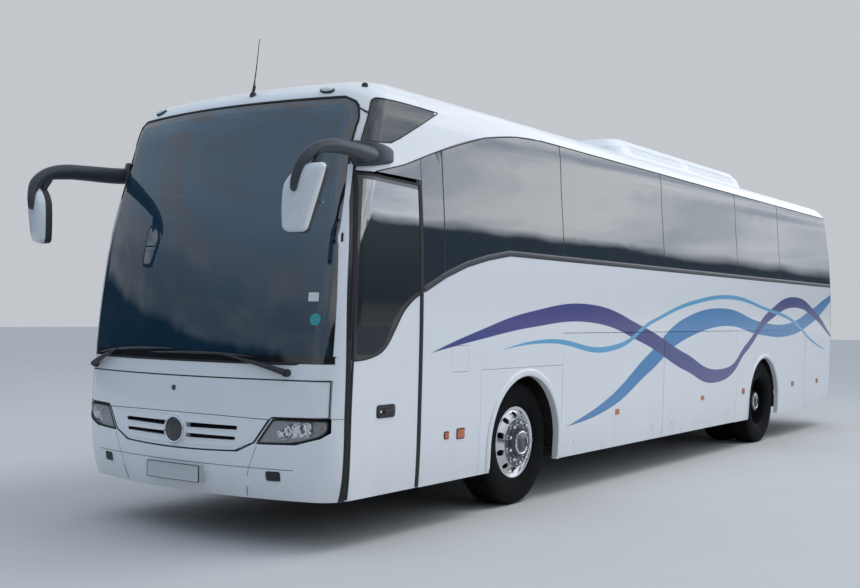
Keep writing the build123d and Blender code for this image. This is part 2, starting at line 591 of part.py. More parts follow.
# wheel housings
def housing(s, x0, x1, r_in, t, z_top):
    outer = side_prism([(s + r_in + t, 420), (s + r_in + t, TYRE_R), (s + r_in * 0.62, z_top + t), (s - r_in * 0.62, z_top + t), (s - r_in - t, TYRE_R), (s - r_in - t, 420)], x0 - t, x1)
    inner = side_prism([(s + r_in, 400), (s + r_in, TYRE_R), (s + r_in * 0.62 - t * 0.5, z_top), (s - r_in * 0.62 + t * 0.5, z_top), (s - r_in, TYRE_R), (s - r_in, 400)], x0, x1 + 5)
    return cut(outer, inner)

house = []
house += housing(S_FRONT_AXLE, 505, 1210, STEER_CLEAR_R, 12, 1140)
house += housing(S_REAR_AXLE, 540, 1210, 600, 12, 1130)
house = [common(b, INNER_FIT) for b in house]
axle_slots = [box(-900, 900, S_FRONT_AXLE - 110, S_FRONT_AXLE + 110, 380, 640), box(-900, 900, S_REAR_AXLE - 190, S_REAR_AXLE + 190, 380, 760)]
node("wheel_housings", both(cut(house, axle_slots)))

# engine and rear drive
node("engine_block", fuse(box(-390, 390, 10400, 11640, 540, 1300)))

# axles
beam = [box(-820, 820, S_FRONT_AXLE - 55, S_FRONT_AXLE + 55, 430, 520)]
eyes = []
for x in (-X_KINGPIN, X_KINGPIN):
    eyes.append(cyl_z(x, S_FRONT_AXLE, 430, 600, 62))
springs = [cyl_z(x, S_FRONT_AXLE, 519, 700, 55) for x in (-400, 400)]
pads = [box(x - 80, x + 80, S_FRONT_AXLE - 80, S_FRONT_AXLE + 80, 500, 520) for x in (-400, 400)]
front_beam = fuse(beam, eyes, springs, pads)
front_beam = cut(front_beam, cyl_z(X_KINGPIN, S_FRONT_AXLE, 400, 640, 24.5), cyl_z(-X_KINGPIN, S_FRONT_AXLE, 400, 640, 24.5))
node("front_axle_beam", front_beam)
rear_ax = [cyl_x(-540, 540, S_REAR_AXLE, TYRE_R, 90), rod((0, S_REAR_AXLE - 210, TYRE_R), (0, S_REAR_AXLE + 210, TYRE_R), 190),
           cyl_x(-1130, 1130, S_REAR_AXLE, TYRE_R, 60)]
rear_ax += [cyl_z(x, S_REAR_AXLE + 30, TYRE_R, 820, 75) for x in (-435, 435)]
shaft = rod((0, S_REAR_AXLE + 205, TYRE_R + 5), (0, 10385, 639), 45)
node("rear_axle", fuse(rear_ax, shaft))

# ------------------------------------------------------------------
# Wheels
# ------------------------------------------------------------------
def ring(profile, x, s):
    """Turn an (axial, radius) outline about the wheel axis; axial grows outboard (+X)."""
    face = path_face(profile, lambda a, r: Vector(x + a, s - Y_FRONT, TYRE_R + r))
    return Solid.revolve(face, 360, Axis(Vector(x, s - Y_FRONT, TYRE_R), (1, 0, 0)))

H = TYRE_W / 2
def tyre_profile():
    return [(-108, 300.5), ("arc", (-H + 6, 350), (-H, 404)), ("arc", (-H + 3, 452), (-H + 18, 494)), ("arc", (-H + 26, 511), (-H + 44, 518)),
            ("arc", (0, TYRE_R), (H - 44, 518)), ("arc", (H - 26, 511), (H - 18, 494)), ("arc", (H - 3, 452), (H, 404)),
            ("arc", (H - 6, 350), (108, 300.5)), (103, 300.5), (101, 287.5), (-101, 287.5), (-103, 300.5)]

def barrel(sign, disc):
    """Rim barrel with the wheel disc; sign +1 has the disc face outboard."""
    return [(-116, 299), (-104, 299), (-102, 286), (-60, 284), (-40, 262), (60, 262), (80, 284), (102, 286), (104, 299), (116, 299),
            (116, 290), (112, 276)] + disc

front_disc = [(94, 266), (98, 250), (124, 222), (143, 206), (146, 198), (146, 142), (131, 142), (131, 194), (110, 212), (82, 238), (44, 250),
              (-46, 250), (-66, 270), (-108, 274), (-116, 288)]
rear_disc = [(92, 268), (70, 248), (-20, 248), (-52, 236), (-58, 200), (-58, 142), (-72, 142), (-72, 205), (-66, 244), (-60, 250), (-68, 268), (-108, 274), (-116, 288)]

def hand_holes(x, s, r, w, h, n, depth):
    out = []
    for i in range(n):
        t = 2 * math.pi * (i + 0.5) / n
        slot = Solid.extrude(Face(Wire.make_ellipse(h, w, Plane(origin=(x - depth, s - Y_FRONT + r * math.cos(t), TYRE_R + r * math.sin(t)),
                             x_dir=(0, math.cos(t), math.sin(t)), z_dir=(1, 0, 0)))), Vector(2 * depth, 0, 0))
        out.append(slot)
    return out

def hub(x, s, a0, a1, r, cap0, cap1, capr):
    return fuse(cyl_x(x + a0, x + a1, s, TYRE_R, r), cyl_x(x + cap0, x + cap1, s, TYRE_R, capr))

fw_tyre = ring(tyre_profile(), X_FRONT_WHEEL, S_FRONT_AXLE)
fw_rim = cut(ring(barrel(1, front_disc), X_FRONT_WHEEL, S_FRONT_AXLE), hand_holes(X_FRONT_WHEEL + 105, S_FRONT_AXLE, 231, 26, 25, 10, 60))
fw_hub = fuse(ring([(20, 60), (20, 141), (154, 141), (156, 118), (184, 108), (190, 0.0), (60, 0.0), (60, 60)], X_FRONT_WHEEL, S_FRONT_AXLE))
fw_flange = ring([(114, 120), (114, 176), (131.5, 176), (131.5, 120)], X_FRONT_WHEEL, S_FRONT_AXLE)
rim_front = fuse(fw_rim, fw_hub, fw_flange)
node("front_left_tyre", fw_tyre)
node("front_left_rim", rim_front)
node("front_right_tyre", mirrored(fw_tyre))
node("front_right_rim", [mirrored(b) for b in rim_front])

rw_tyres = [ring(tyre_profile(), X_REAR_OUTER, S_REAR_AXLE), ring(tyre_profile(), X_REAR_INNER, S_REAR_AXLE)]
out_rim = cut(ring(barrel(1, rear_disc), X_REAR_OUTER, S_REAR_AXLE), hand_holes(X_REAR_OUTER - 65, S_REAR_AXLE, 222, 34, 17, 10, 60))
in_disc = [(92, 268), (110, 262), (118, 250), (118, 240)] 
in_rim = ring([(-116, 299), (-104, 299), (-102, 286), (-60, 284), (-40, 262), (60, 262), (80, 284), (102, 286), (104, 299), (116, 299),
               (116, 290), (112, 276), (140, 262), (212, 244), (240, 236), (252, 205), (266, 205), (266, 142), (252, 142), (248, 190), (224, 224), (140, 246), (96, 258),
               (80, 250), (-46, 250), (-66, 270), (-108, 274), (-116, 288)], X_REAR_INNER, S_REAR_AXLE)
rw_hub = ring([(-160, 62), (-160, 141), (20, 141), (26, 128), (78, 120), (84, 0.0), (80, 0.0), (66, 0.0), (66, 62)], X_REAR_OUTER, S_REAR_AXLE)
rim_rear = fuse(out_rim, in_rim, rw_hub)
node("rear_left_tyres", rw_tyres)
node("rear_left_rims", rim_rear)
node("rear_right_tyres", [mirrored(b) for b in solids_of(rw_tyres)])
node("rear_right_rims", [mirrored(b) for b in rim_rear])

# steering knuckles: kingpin, yoke and stub axle
def knuckle():
    pin = cyl_z(X_KINGPIN, S_FRONT_AXLE, 395, 640, 24)
    yoke = [box(X_KINGPIN - 50, X_KINGPIN + 60, S_FRONT_AXLE - 50, S_FRONT_AXLE + 50, 385, 428),
            box(X_KINGPIN - 50, X_KINGPIN + 60, S_FRONT_AXLE - 50, S_FRONT_AXLE + 50, 602, 650),
            box(X_KINGPIN + 66, X_KINGPIN + 100, S_FRONT_AXLE - 50, S_FRONT_AXLE + 50, 385, 650),
            box(X_KINGPIN + 55, X_KINGPIN + 70, S_FRONT_AXLE - 50, S_FRONT_AXLE + 50, 385, 428),
            box(X_KINGPIN + 55, X_KINGPIN + 70, S_FRONT_AXLE - 50, S_FRONT_AXLE + 50, 602, 650)]
    stub = cyl_x(X_KINGPIN + 95, X_FRONT_WHEEL + 59, S_FRONT_AXLE, TYRE_R, 59.5)
    plate = cyl_x(X_KINGPIN + 80, X_KINGPIN + 130, S_FRONT_AXLE, TYRE_R, 190)
    return fuse(pin, yoke, stub, plate)

node("left_knuckle", knuckle())
node("right_knuckle", [mirrored(b) for b in knuckle()])

# ------------------------------------------------------------------
# Interior
# ------------------------------------------------------------------
dash = side_prism([(330, COCKPIT_Z), (330, 1235), (420, 1255), (560, 1330), (690, 1430), (830, 1415), (860, 1250), (720, 1120), (700, COCKPIT_Z)], -1230, 300)
dash2 = side_prism([(330, COCKPIT_Z), (330, 1220), (420, 1236), (428, COCKPIT_Z)], 299, 1230)
node("dashboard", fuse(common(dash, INNER_FIT), common(dash2, INNER_FIT)))
SW = (-640, 900, 1660)
tilt = math.radians(28)
wheel_plane = Plane(origin=(SW[0], SW[1] - Y_FRONT, SW[2]), z_dir=(0, math.sin(tilt), math.cos(tilt)))
sw = Solid.make_torus(225, 15, wheel_plane)
sw_hub = Solid.make_cylinder(55, 40, Plane(origin=wheel_plane.origin - wheel_plane.z_dir * 40, z_dir=wheel_plane.z_dir))
spokes = [rod((SW[0] + 40, SW[1] - 10, SW[2] - 20), (SW[0] + 222, SW[1], SW[2]), 12), rod((SW[0] - 40, SW[1] - 10, SW[2] - 20), (SW[0] - 222, SW[1], SW[2]), 12),
          rod((SW[0], SW[1] + 20, SW[2] - 30), (SW[0], SW[1] + 222 * math.cos(tilt), SW[2] - 222 * math.sin(tilt)), 12)]
node("steering_wheel", fuse(sw, sw_hub, spokes, rod((SW[0], SW[1] - 18, SW[2] - 38), (SW[0], SW[1] - 95, 1475), 26)))

def seat(x0, x1, s, z, back):
    """One seat: cushion, back and base, facing the front."""
    base = box(x0 + 60, x1 - 60, s + 90, s + 340, z, z + 285)
    cushion = box(x0, x1, s, s + 450, z + 286, z + 420)
    rest = side_prism([(s + 380, z + 421), (s + 500, z + 421), (s + 500 + back * 0.16, z + 421 + back), (s + 400 + back * 0.16, z + 421 + back)], x0, x1)
    return [base, cushion, rest]

ds = seat(-860, -420, 1120, COCKPIT_Z + 1, 760)
node("driver_seat", ds)
seats = []
ROWS = [2120 + 790 * i for i in range(12)]
for i, s in enumerate(ROWS):
    for x0 in (-1150, -700, 260, 710):
        if x0 > 0 and i == 6:
            continue
        seats += seat(x0, x0 + 435, s, FLOOR_Z + 1, 720)
node("passenger_seats", seats)
racks = []
for x0, x1 in ((760, 1120),):
    racks.append(side_prism([(2700, 2820), (11500, 2820), (11500, 2850), (2700, 2850)], x0, x1))
    racks.append(side_prism([(2700, 2850), (11500, 2850), (11500, 2960), (2700, 2960)], x0, x0 + 25))
rack = fuse(racks)
node("luggage_racks", both([common(b, INNER_FIT) for b in rack]))

# ------------------------------------------------------------------
# Outside fittings
# ------------------------------------------------------------------
def mirror_set(sx):
    base = side_prism(rounded([(520, 2588), (842, 2650), (850, 2742), (530, 2764)], 25), 1150, 1262)
    base = cut(common(base, envelope(-18)), OUTER)
    arm = [rod((1225, 660, 2690), (1345, 300, 2694), 48), rod((1345, 300, 2694), (1372, 20, 2640), 46), rod((1372, 20, 2640), (1366, -150, 2540), 40), rod((1366, -150, 2540), (1358, -195, 2440), 30)]
    joints_ = [Solid.make_sphere(47, Plane(origin=(1345, 300 - Y_FRONT, 2694))) , Solid.make_sphere(45, Plane(origin=(1372, 20 - Y_FRONT, 2640))), Solid.make_sphere(39, Plane(origin=(1366, -150 - Y_FRONT, 2540)))]
    arm_all = cut(fuse(arm, joints_), OUTER)
    yaw = math.radians(17)
    head = Solid.extrude(path_face(rounded([(1228, 2098), (1440, 2098), (1480, 2160), (1480, 2440), (1430, 2492), (1240, 2492), (1205, 2440), (1205, 2140)], 40),
                                   lambda x, z: Vector(1345 + (x - 1345) * math.cos(yaw) + 75 * math.sin(yaw),
                                                       -210 - Y_FRONT + (x - 1345) * math.sin(yaw) - 75 * math.cos(yaw), z)),
                         Vector(-150 * math.sin(yaw), 150 * math.cos(yaw), 0))
    return fuse(arm_all, head)

left_mirror = mirror_set(1)
node("left_mirror", left_mirror)
node("right_mirror", [mirrored(b) for b in left_mirror])

wip = []
for x, tipx in ((905, 60), (-1080, -180)):
    s0 = 150 if x > 0 else 205
    wip.append(rod((x, s0 - 60, 1196), (x, s0 + 20, 1196), 20))
    wip.append(rod((x, s0 - 52, 1196), ((x + tipx) / 2, 20 + ((x + tipx) / 2) ** 2 / 7600 - 20, 1262), 10))
node("wipers", cut(fuse(wip[0:2]), OUTER), cut(fuse(wip[2:4]), OUTER))

node("antenna", cut(fuse(rod((205, 516, 3190), (205, 520, 3225), 22), rod((205, 518, 3220), (205, 575, 3612), 4)), OUTER))

def skin_x(z):
    return read_profile([(w, zz) for zz, f, w, r in BODY], z)
markers = []
MARKERS = ((1537, 684, 26, 22), (1729, 683, 48, 34), (4482, 673, 38, 26), (6696, 688, 38, 26), (8048, 696, 38, 26), (10021, 702, 38, 26), (11178, 697, 38, 26))
for s, z, hw, hh in MARKERS:
    m = box(1200, skin_x(z) + 9, s - hw, s + hw, z - hh, z + hh)
    markers += cut(m, OUTER)
node("marker_lamps", both(markers))
node("number_plates", cut(box(-262, 262, -12, 60, 412, 528), OUTER), cut(box(-262, 262, 12080, 12170, 640, 755), OUTER))

for name, bodies in NODES.items():
    shape = bodies[0] if len(bodies) == 1 else Compound(children=[b for b in bodies])
    shape.label = name
    export_step(shape, "parts/%s.step" % name)
print(len(NODES), "nodes")
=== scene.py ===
import bpy, bmesh, math
import numpy as np
from mathutils import Vector, Matrix, noise
from mathutils.bvhtree import BVHTree


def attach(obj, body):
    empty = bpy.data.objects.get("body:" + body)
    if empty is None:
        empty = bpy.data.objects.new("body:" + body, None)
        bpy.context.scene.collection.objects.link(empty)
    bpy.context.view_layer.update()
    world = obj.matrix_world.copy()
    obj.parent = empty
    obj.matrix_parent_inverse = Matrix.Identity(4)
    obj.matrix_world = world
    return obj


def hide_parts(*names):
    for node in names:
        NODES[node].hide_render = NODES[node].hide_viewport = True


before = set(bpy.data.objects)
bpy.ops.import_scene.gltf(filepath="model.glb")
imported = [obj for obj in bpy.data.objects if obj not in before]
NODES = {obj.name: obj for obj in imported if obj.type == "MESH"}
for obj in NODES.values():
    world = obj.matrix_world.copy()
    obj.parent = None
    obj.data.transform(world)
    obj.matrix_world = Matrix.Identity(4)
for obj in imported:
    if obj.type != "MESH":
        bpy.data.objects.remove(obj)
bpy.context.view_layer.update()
S0 = 5.890          # y = s - S0, where s runs back from the nose


def Y(s):
    return s - S0


def V(x, s, z):
    return Vector((x, s - S0, z))


# ------------------------------------------------------------------
# Node-tree helpers
# ------------------------------------------------------------------
def new_mat(name, **consts):
    m = bpy.data.materials.new(name)
    m.use_nodes = True
    b = m.node_tree.nodes["Principled BSDF"]
    for k, v in consts.items():
        b.inputs[k.replace("_", " ")].default_value = v
    return m, m.node_tree, b


def add(t, kind, inputs=None, **props):
    n = t.nodes.new(kind)
    for k, v in props.items():
        setattr(n, k, v)
    for k, v in (inputs or {}).items():
        if isinstance(v, bpy.types.NodeSocket):
            t.links.new(v, n.inputs[k])
        else:
            n.inputs[k].default_value = v
    return n


def op(t, what, a, b=0.0, c=0.0, clamp=False):
    return add(t, "ShaderNodeMath", {0: a, 1: b, 2: c}, operation=what, use_clamp=clamp).outputs[0]


def mixc(t, f, a, b, blend="MIX"):
    n = add(t, "ShaderNodeMix", {0: f, 6: a, 7: b}, data_type="RGBA", blend_type=blend)
    return n.outputs[2]


def ramp(t, x, stops):
    n = add(t, "ShaderNodeValToRGB", {0: x})
    e = n.color_ramp.elements
    e[0].position, e[0].color = stops[0][0], stops[0][1]
    e[1].position, e[1].color = stops[-1][0], stops[-1][1]
    for p, c in stops[1:-1]:
        k = e.new(p)
        k.color = c
    return n.outputs[0]


def span(t, x, a, b, lo=0.0, hi=1.0):
    return add(t, "ShaderNodeMapRange", {0: x, 1: a, 2: b, 3: lo, 4: hi}).outputs[0]


def coords(t):
    tc = add(t, "ShaderNodeTexCoord")
    sx = add(t, "ShaderNodeSeparateXYZ", {0: tc.outputs["Object"]})
    return tc.outputs["Object"], sx.outputs[0], sx.outputs[1], sx.outputs[2]


def grain(t, vec, scale, detail=4.0, rough=0.55, dist=0.0):
    return add(t, "ShaderNodeTexNoise", {"Vector": vec, "Scale": scale, "Detail": detail, "Roughness": rough, "Distortion": dist}).outputs[0]


def bump(t, b, height, strength=0.3, distance=0.001):
    n = add(t, "ShaderNodeBump", {"Height": height, "Strength": strength, "Distance": distance})
    t.links.new(n.outputs[0], b.inputs["Normal"])


def curve(t, x, pts):
    n = add(t, "ShaderNodeFloatCurve", {"Factor": 1.0, "Value": x})
    c = n.mapping.curves[0]
    pts = sorted(pts)
    c.points[0].location = pts[0]
    c.points[1].location = pts[-1]
    for p in pts[1:-1]:
        c.points.new(*p)
    n.mapping.update()
    return n.outputs[0]


def rgb(r, g, b):
    return (r, g, b, 1.0)


def hexc(h):
    out = []
    for i in (0, 2, 4):
        c = int(h[i:i + 2], 16) / 255
        out.append(c / 12.92 if c <= 0.04045 else ((c + 0.055) / 1.055) ** 2.4)
    return (*out, 1.0)


# ------------------------------------------------------------------
# Materials
# ------------------------------------------------------------------
# ribbons on the sides: (s, z, half thickness), metres
RIBBONS = (
    (hexc("1b82c4"), ((3.42, 0.60, 0.0), (4.2, 0.74, 0.05), (5.2, 1.12, 0.10), (6.3, 1.50, 0.12), (7.4, 1.60, 0.105), (8.6, 1.47, 0.085), (9.7, 1.44, 0.085), (10.8, 1.62, 0.10), (11.6, 1.84, 0.07), (11.95, 1.95, 0.0))),
    (hexc("2a2c86"), ((1.28, 1.30, 0.0), (1.9, 1.42, 0.035), (2.8, 1.56, 0.07), (3.8, 1.62, 0.085), (5.0, 1.42, 0.085), (6.2, 1.10, 0.095), (7.2, 0.92, 0.075), (8.1, 1.22, 0.05), (9.1, 1.66, 0.07), (10.1, 1.82, 0.075), (11.0, 1.66, 0.06), (11.7, 1.40, 0.03), (11.95, 1.30, 0.0))),
    (hexc("58aee0"), ((2.25, 1.30, 0.0), (3.1, 1.37, 0.02), (4.2, 1.28, 0.028), (5.3, 1.55, 0.022), (6.4, 1.76, 0.024), (7.6, 1.84, 0.026), (8.8, 1.72, 0.022), (9.9, 1.58, 0.026), (10.9, 1.28, 0.02), (11.7, 1.12, 0.0))),
)
SIDE_SPAN, SIDE_TALL = 12.5, 2.5


def make_paint(name, livery=True):
    m, t, b = new_mat(name, Roughness=0.30, Coat_Weight=0.9, Coat_Roughness=0.05, Specular_IOR_Level=0.5)
    o, x, y, z = coords(t)
    fine = grain(t, o, 2.2, 3.0)
    col = mixc(t, fine, rgb(0.79, 0.83, 0.88), rgb(0.84, 0.87, 0.91))
    if livery:
        s = op(t, "ADD", y, S0)
        u = op(t, "DIVIDE", s, SIDE_SPAN)
        side = span(t, op(t, "ABSOLUTE", x), 1.13, 1.135)
        for colour, pts in RIBBONS:
            centre = curve(t, u, [(p[0] / SIDE_SPAN, p[1] / SIDE_TALL) for p in pts])
            half = curve(t, u, [(p[0] / SIDE_SPAN, p[2] * 4) for p in pts])
            gap = op(t, "ABSOLUTE", op(t, "SUBTRACT", z, op(t, "MULTIPLY", centre, SIDE_TALL)))
            k = op(t, "SUBTRACT", op(t, "MULTIPLY", half, 0.25), gap)
            k = op(t, "MULTIPLY", op(t, "DIVIDE", k, 0.004, clamp=True), side)
            inside = op(t, "MULTIPLY", span(t, s, pts[0][0], pts[0][0] + 0.02), span(t, s, pts[-1][0] - 0.02, pts[-1][0], 1.0, 0.0))
            k = op(t, "MULTIPLY", k, inside)
            shade = mixc(t, grain(t, o, 6.0, 3.0), colour, tuple(c * 0.86 for c in colour[:3]) + (1.0,))
            col = mixc(t, k, col, shade)
    # road film, low on the body and streaking upward
    streak = add(t, "ShaderNodeMapping", {"Vector": o, "Scale": (2.2, 2.2, 0.9)}).outputs[0]
    film = op(t, "MULTIPLY", grain(t, streak, 3.0, 3.0, 0.5), op(t, "POWER", span(t, z, 1.10, 0.33, 0.0, 1.0), 1.8))
    col = mixc(t, op(t, "MULTIPLY", film, 0.30), col, rgb(0.33, 0.31, 0.28))
    t.links.new(col, b.inputs["Base Color"])
    t.links.new(op(t, "ADD", 0.29, op(t, "MULTIPLY", film, 0.3)), b.inputs["Roughness"])
    h = op(t, "ADD", op(t, "MULTIPLY", grain(t, o, 420.0, 2.0), 0.05), grain(t, o, 1.3, 2.0))
    bump(t, b, h, 0.25, 0.004)
    return m


def plain(name, c1, c2, scale, rough=(0.4, 0.6), bump_scale=600.0, strength=0.25, distance=0.0006, **consts):
    """A two-tone material with grain in its colour, roughness and surface."""
    m, t, b = new_mat(name, **consts)
    o, x, y, z = coords(t)
    f = grain(t, o, scale, 5.0, 0.6)
    t.links.new(mixc(t, f, c1, c2), b.inputs["Base Color"])
    t.links.new(span(t, grain(t, o, scale * 3.1, 3.0), 0.3, 0.7, *rough), b.inputs["Roughness"])
    bump(t, b, grain(t, o, bump_scale, 3.0), strength, distance)
    return m


def make_glass(name, tint, frit, alpha=0.86, rough=0.012, ior=1.9, wave=0.0022, coated=None):
    """Tinted pane; frit(t, x, s, z) gives 1 where the printed black border is."""
    m, t, b = new_mat(name, IOR=ior, Coat_Weight=0.0)
    o, x, y, z = coords(t)
    s = op(t, "ADD", y, S0)
    k = frit(t, x, s, z)
    f = grain(t, o, 1.7, 3.0)
    base = mixc(t, f, tint, tuple(c * 1.35 for c in tint[:3]) + (1.0,))
    t.links.new(mixc(t, k, base, rgb(0.012, 0.013, 0.016)), b.inputs["Base Color"])
    t.links.new(op(t, "ADD", alpha, op(t, "MULTIPLY", k, 1.0 - alpha)), b.inputs["Alpha"])
    t.links.new(op(t, "ADD", rough, op(t, "MULTIPLY", grain(t, o, 9.0, 4.0), 0.03)), b.inputs["Roughness"])
    if coated:
        # sun-control coat, densest at the top of the pane
        b.inputs["Coat IOR"].default_value = 3.4
        b.inputs["Coat Roughness"].default_value = 0.01
        t.links.new(span(t, z, *coated), b.inputs["Coat Weight"])
    bump(t, b, grain(t, o, 1.1, 1.0), 1.0, wave)
    return m


def none(t, x, s, z):
    return op(t, "MULTIPLY", 0.0, z)


def screen_edge(t, x, s, z):
    edge = curve(t, op(t, "DIVIDE", z, 3.5), [(1.0 / 3.5, 0.26), (1.25 / 3.5, 0.283), (2.1 / 3.5, 0.372), (2.773 / 3.5, 0.528), (2.95 / 3.5, 0.585), (3.08 / 3.5, 0.60), (1.0, 0.6)])
    sides = span(t, op(t, "SUBTRACT", s, edge), -0.034, -0.030)
    low = span(t, z, 1.305, 1.300)
    high = span(t, z, 3.035, 3.040)
    return op(t, "MAXIMUM", op(t, "MULTIPLY", sides, span(t, op(t, "ABSOLUTE", x), 0.85, 0.86)), op(t, "MAXIMUM", low, high))


BELT = ((0.0, 1.42), (0.8, 1.46), (1.206, 1.75), (1.5, 1.872), (1.79, 1.964), (2.1, 2.03), (2.43, 2.080), (3.4, 2.080), (12.4, 2.080))
TOPS = ((0.0, 2.60), (0.64, 2.566), (1.0, 2.657), (1.38, 2.792), (1.75, 2.905), (2.1, 3.004), (2.6, 3.080), (3.05, 3.106), (12.4, 3.106))


def side_edge(t, x, s, z):
    u = op(t, "DIVIDE", s, 12.5)
    low = curve(t, u, [(a / 12.5, b / 4.0) for a, b in BELT])
    top = curve(t, u, [(a / 12.5, b / 4.0) for a, b in TOPS])
    zz = op(t, "DIVIDE", z, 4.0)
    k1 = span(t, op(t, "SUBTRACT", zz, low), 0.046 / 4, 0.042 / 4)
    k2 = span(t, op(t, "SUBTRACT", top, zz), 0.040 / 4, 0.036 / 4)
    return op(t, "MAXIMUM", k1, k2)


def door_edge(t, x, s, z):
    u = op(t, "DIVIDE", s, 1.5)
    low = curve(t, u, [(a / 1.5, b / 4.0) for a, b in ((0.0, 1.33), (0.545, 1.335), (0.60, 1.347), (0.66, 1.37), (0.72, 1.41), (0.774, 1.465), (0.85, 1.56), (0.936, 1.66), (1.04, 1.735), (1.166, 1.80), (1.5, 1.9))])
    zz = op(t, "DIVIDE", z, 4.0)
    k1 = span(t, op(t, "SUBTRACT", zz, low), 0.004 / 4, 0.0)
    k2 = span(t, z, 2.450, 2.454)
    return op(t, "MAXIMUM", k1, k2)


paint = make_paint("coach_white")
paint_plain = make_paint("roof_white", livery=False)
glass_screen = make_glass("screen_glass", rgb(0.008, 0.038, 0.072), screen_edge, alpha=0.74, ior=2.2)
glass_side = make_glass("side_glass", rgb(0.010, 0.019, 0.032), side_edge, alpha=0.90, ior=2.6)
glass_door = make_glass("door_glass", rgb(0.008, 0.014, 0.020), door_edge, alpha=0.90, ior=1.45, coated=(1.55, 2.15, 0.06, 1.0))
glass_cab = make_glass("cab_glass", rgb(0.012, 0.017, 0.024), none, alpha=0.80, ior=1.9)
rubber = plain("rubber", rgb(0.010, 0.010, 0.011), rgb(0.020, 0.020, 0.022), 30.0, (0.55, 0.75), 900.0, 0.3, 0.0004)
black_plastic = plain("black_plastic", rgb(0.018, 0.019, 0.022), rgb(0.030, 0.031, 0.035), 12.0, (0.38, 0.52), 1500.0, 0.35, 0.0003)
grey_plastic = plain("grey_plastic", rgb(0.060, 0.066, 0.078), rgb(0.085, 0.092, 0.106), 9.0, (0.34, 0.48), 1300.0, 0.3, 0.0003)
frame_grey = plain("frame_grey", rgb(0.040, 0.044, 0.052), rgb(0.052, 0.056, 0.066), 9.0, (0.30, 0.42), 900.0, 0.2, 0.0002, Coat_Weight=0.25, Coat_Roughness=0.15)
trim = plain("interior_trim", rgb(0.095, 0.105, 0.12), rgb(0.125, 0.135, 0.15), 26.0, (0.75, 0.95), 800.0, 0.2, 0.0003)
dark_trim = plain("dark_trim", rgb(0.020, 0.022, 0.026), rgb(0.030, 0.032, 0.037), 20.0, (0.60, 0.8), 900.0, 0.3, 0.0003)
floor_mat = plain("floor_vinyl", rgb(0.055, 0.060, 0.070), rgb(0.13, 0.14, 0.15), 160.0, (0.45, 0.65), 700.0, 0.3, 0.0006)
lining = plain("bay_lining", rgb(0.20, 0.21, 0.22), rgb(0.29, 0.30, 0.31), 14.0, (0.5, 0.7), 500.0, 0.35, 0.0008)
steel_dark = plain("chassis_black", rgb(0.008, 0.008, 0.009), rgb(0.026, 0.023, 0.020), 7.0, (0.6, 0.9), 120.0, 0.4, 0.001)
cast = plain("cast_grey", rgb(0.09, 0.09, 0.09), rgb(0.16, 0.145, 0.13), 10.0, (0.45, 0.7), 160.0, 0.5, 0.0018, Metallic=0.6)
chrome = plain("bright_metal", rgb(0.75, 0.76, 0.78), rgb(0.86, 0.87, 0.88), 20.0, (0.05, 0.14), 400.0, 0.08, 0.0002, Metallic=1.0)
reflector = plain("lamp_reflector", rgb(0.90, 0.91, 0.93), rgb(0.96, 0.97, 0.98), 40.0, (0.05, 0.12), 60.0, 0.15, 0.001, Metallic=0.55)
mirror_face = plain("mirror_face", rgb(0.84, 0.86, 0.88), rgb(0.88, 0.90, 0.92), 3.0, (0.01, 0.03), 4.0, 0.02, 0.0005, Metallic=1.0)
arm_grey = plain("mirror_arm_grey", rgb(0.030, 0.038, 0.052), rgb(0.042, 0.052, 0.068), 9.0, (0.34, 0.46), 1300.0, 0.3, 0.0003)
leather = plain("rim_leather", rgb(0.012, 0.012, 0.013), rgb(0.026, 0.025, 0.025), 60.0, (0.4, 0.55), 900.0, 0.5, 0.0006)
shell_grey = plain("mirror_shell", rgb(0.66, 0.70, 0.75), rgb(0.71, 0.75, 0.80), 5.0, (0.24, 0.32), 500.0, 0.06, 0.0002, Coat_Weight=0.6, Coat_Roughness=0.06)
plate_mat = plain("plate_white", rgb(0.50, 0.53, 0.56), rgb(0.56, 0.58, 0.61), 40.0, (0.3, 0.4), 1100.0, 0.25, 0.0002)
plate_rear = plain("plate_yellow", rgb(0.70, 0.50, 0.06), rgb(0.76, 0.56, 0.09), 40.0, (0.3, 0.4), 1100.0, 0.25, 0.0002)
# near-black painted shadow for the recess behind the grille slots and the fan openings; also the dial faces
shade_and_dial_black = plain("slot_shadow", rgb(0.004, 0.004, 0.005), rgb(0.010, 0.010, 0.011), 60.0, (0.7, 0.9), 300.0, 0.3, 0.001)
# dark lines laid on seams, creases and panel joints as painted shade
seam_shade_mat = plain("seam_shadow", rgb(0.02, 0.022, 0.026), rgb(0.05, 0.052, 0.058), 30.0, (0.5, 0.7), 300.0, 0.2, 0.0005)


def make_lens(name, c1, c2, cell=90.0, alpha=0.92, **consts):
    """Moulded lamp lens with a prism pattern."""
    m, t, b = new_mat(name, IOR=1.5, Coat_Weight=1.0, Coat_Roughness=0.03, **consts)
    o, x, y, z = coords(t)
    v = add(t, "ShaderNodeTexVoronoi", {"Vector": o, "Scale": cell, "Randomness": 0.0}, feature="F1").outputs["Distance"]
    t.links.new(mixc(t, op(t, "MULTIPLY", v, 1.6, clamp=True), c1, c2), b.inputs["Base Color"])
    t.links.new(span(t, v, 0.0, 0.6, 0.10, 0.28), b.inputs["Roughness"])
    b.inputs["Alpha"].default_value = alpha
    bump(t, b, v, 0.6, 0.002)
    return m


amber = make_lens("amber_lens", rgb(0.90, 0.26, 0.02), rgb(0.55, 0.11, 0.01))
red_lens = make_lens("red_lens", rgb(0.60, 0.012, 0.010), rgb(0.28, 0.004, 0.004))
clear_lens = make_lens("clear_prism", rgb(0.90, 0.91, 0.92), rgb(0.66, 0.68, 0.70), alpha=1.0)


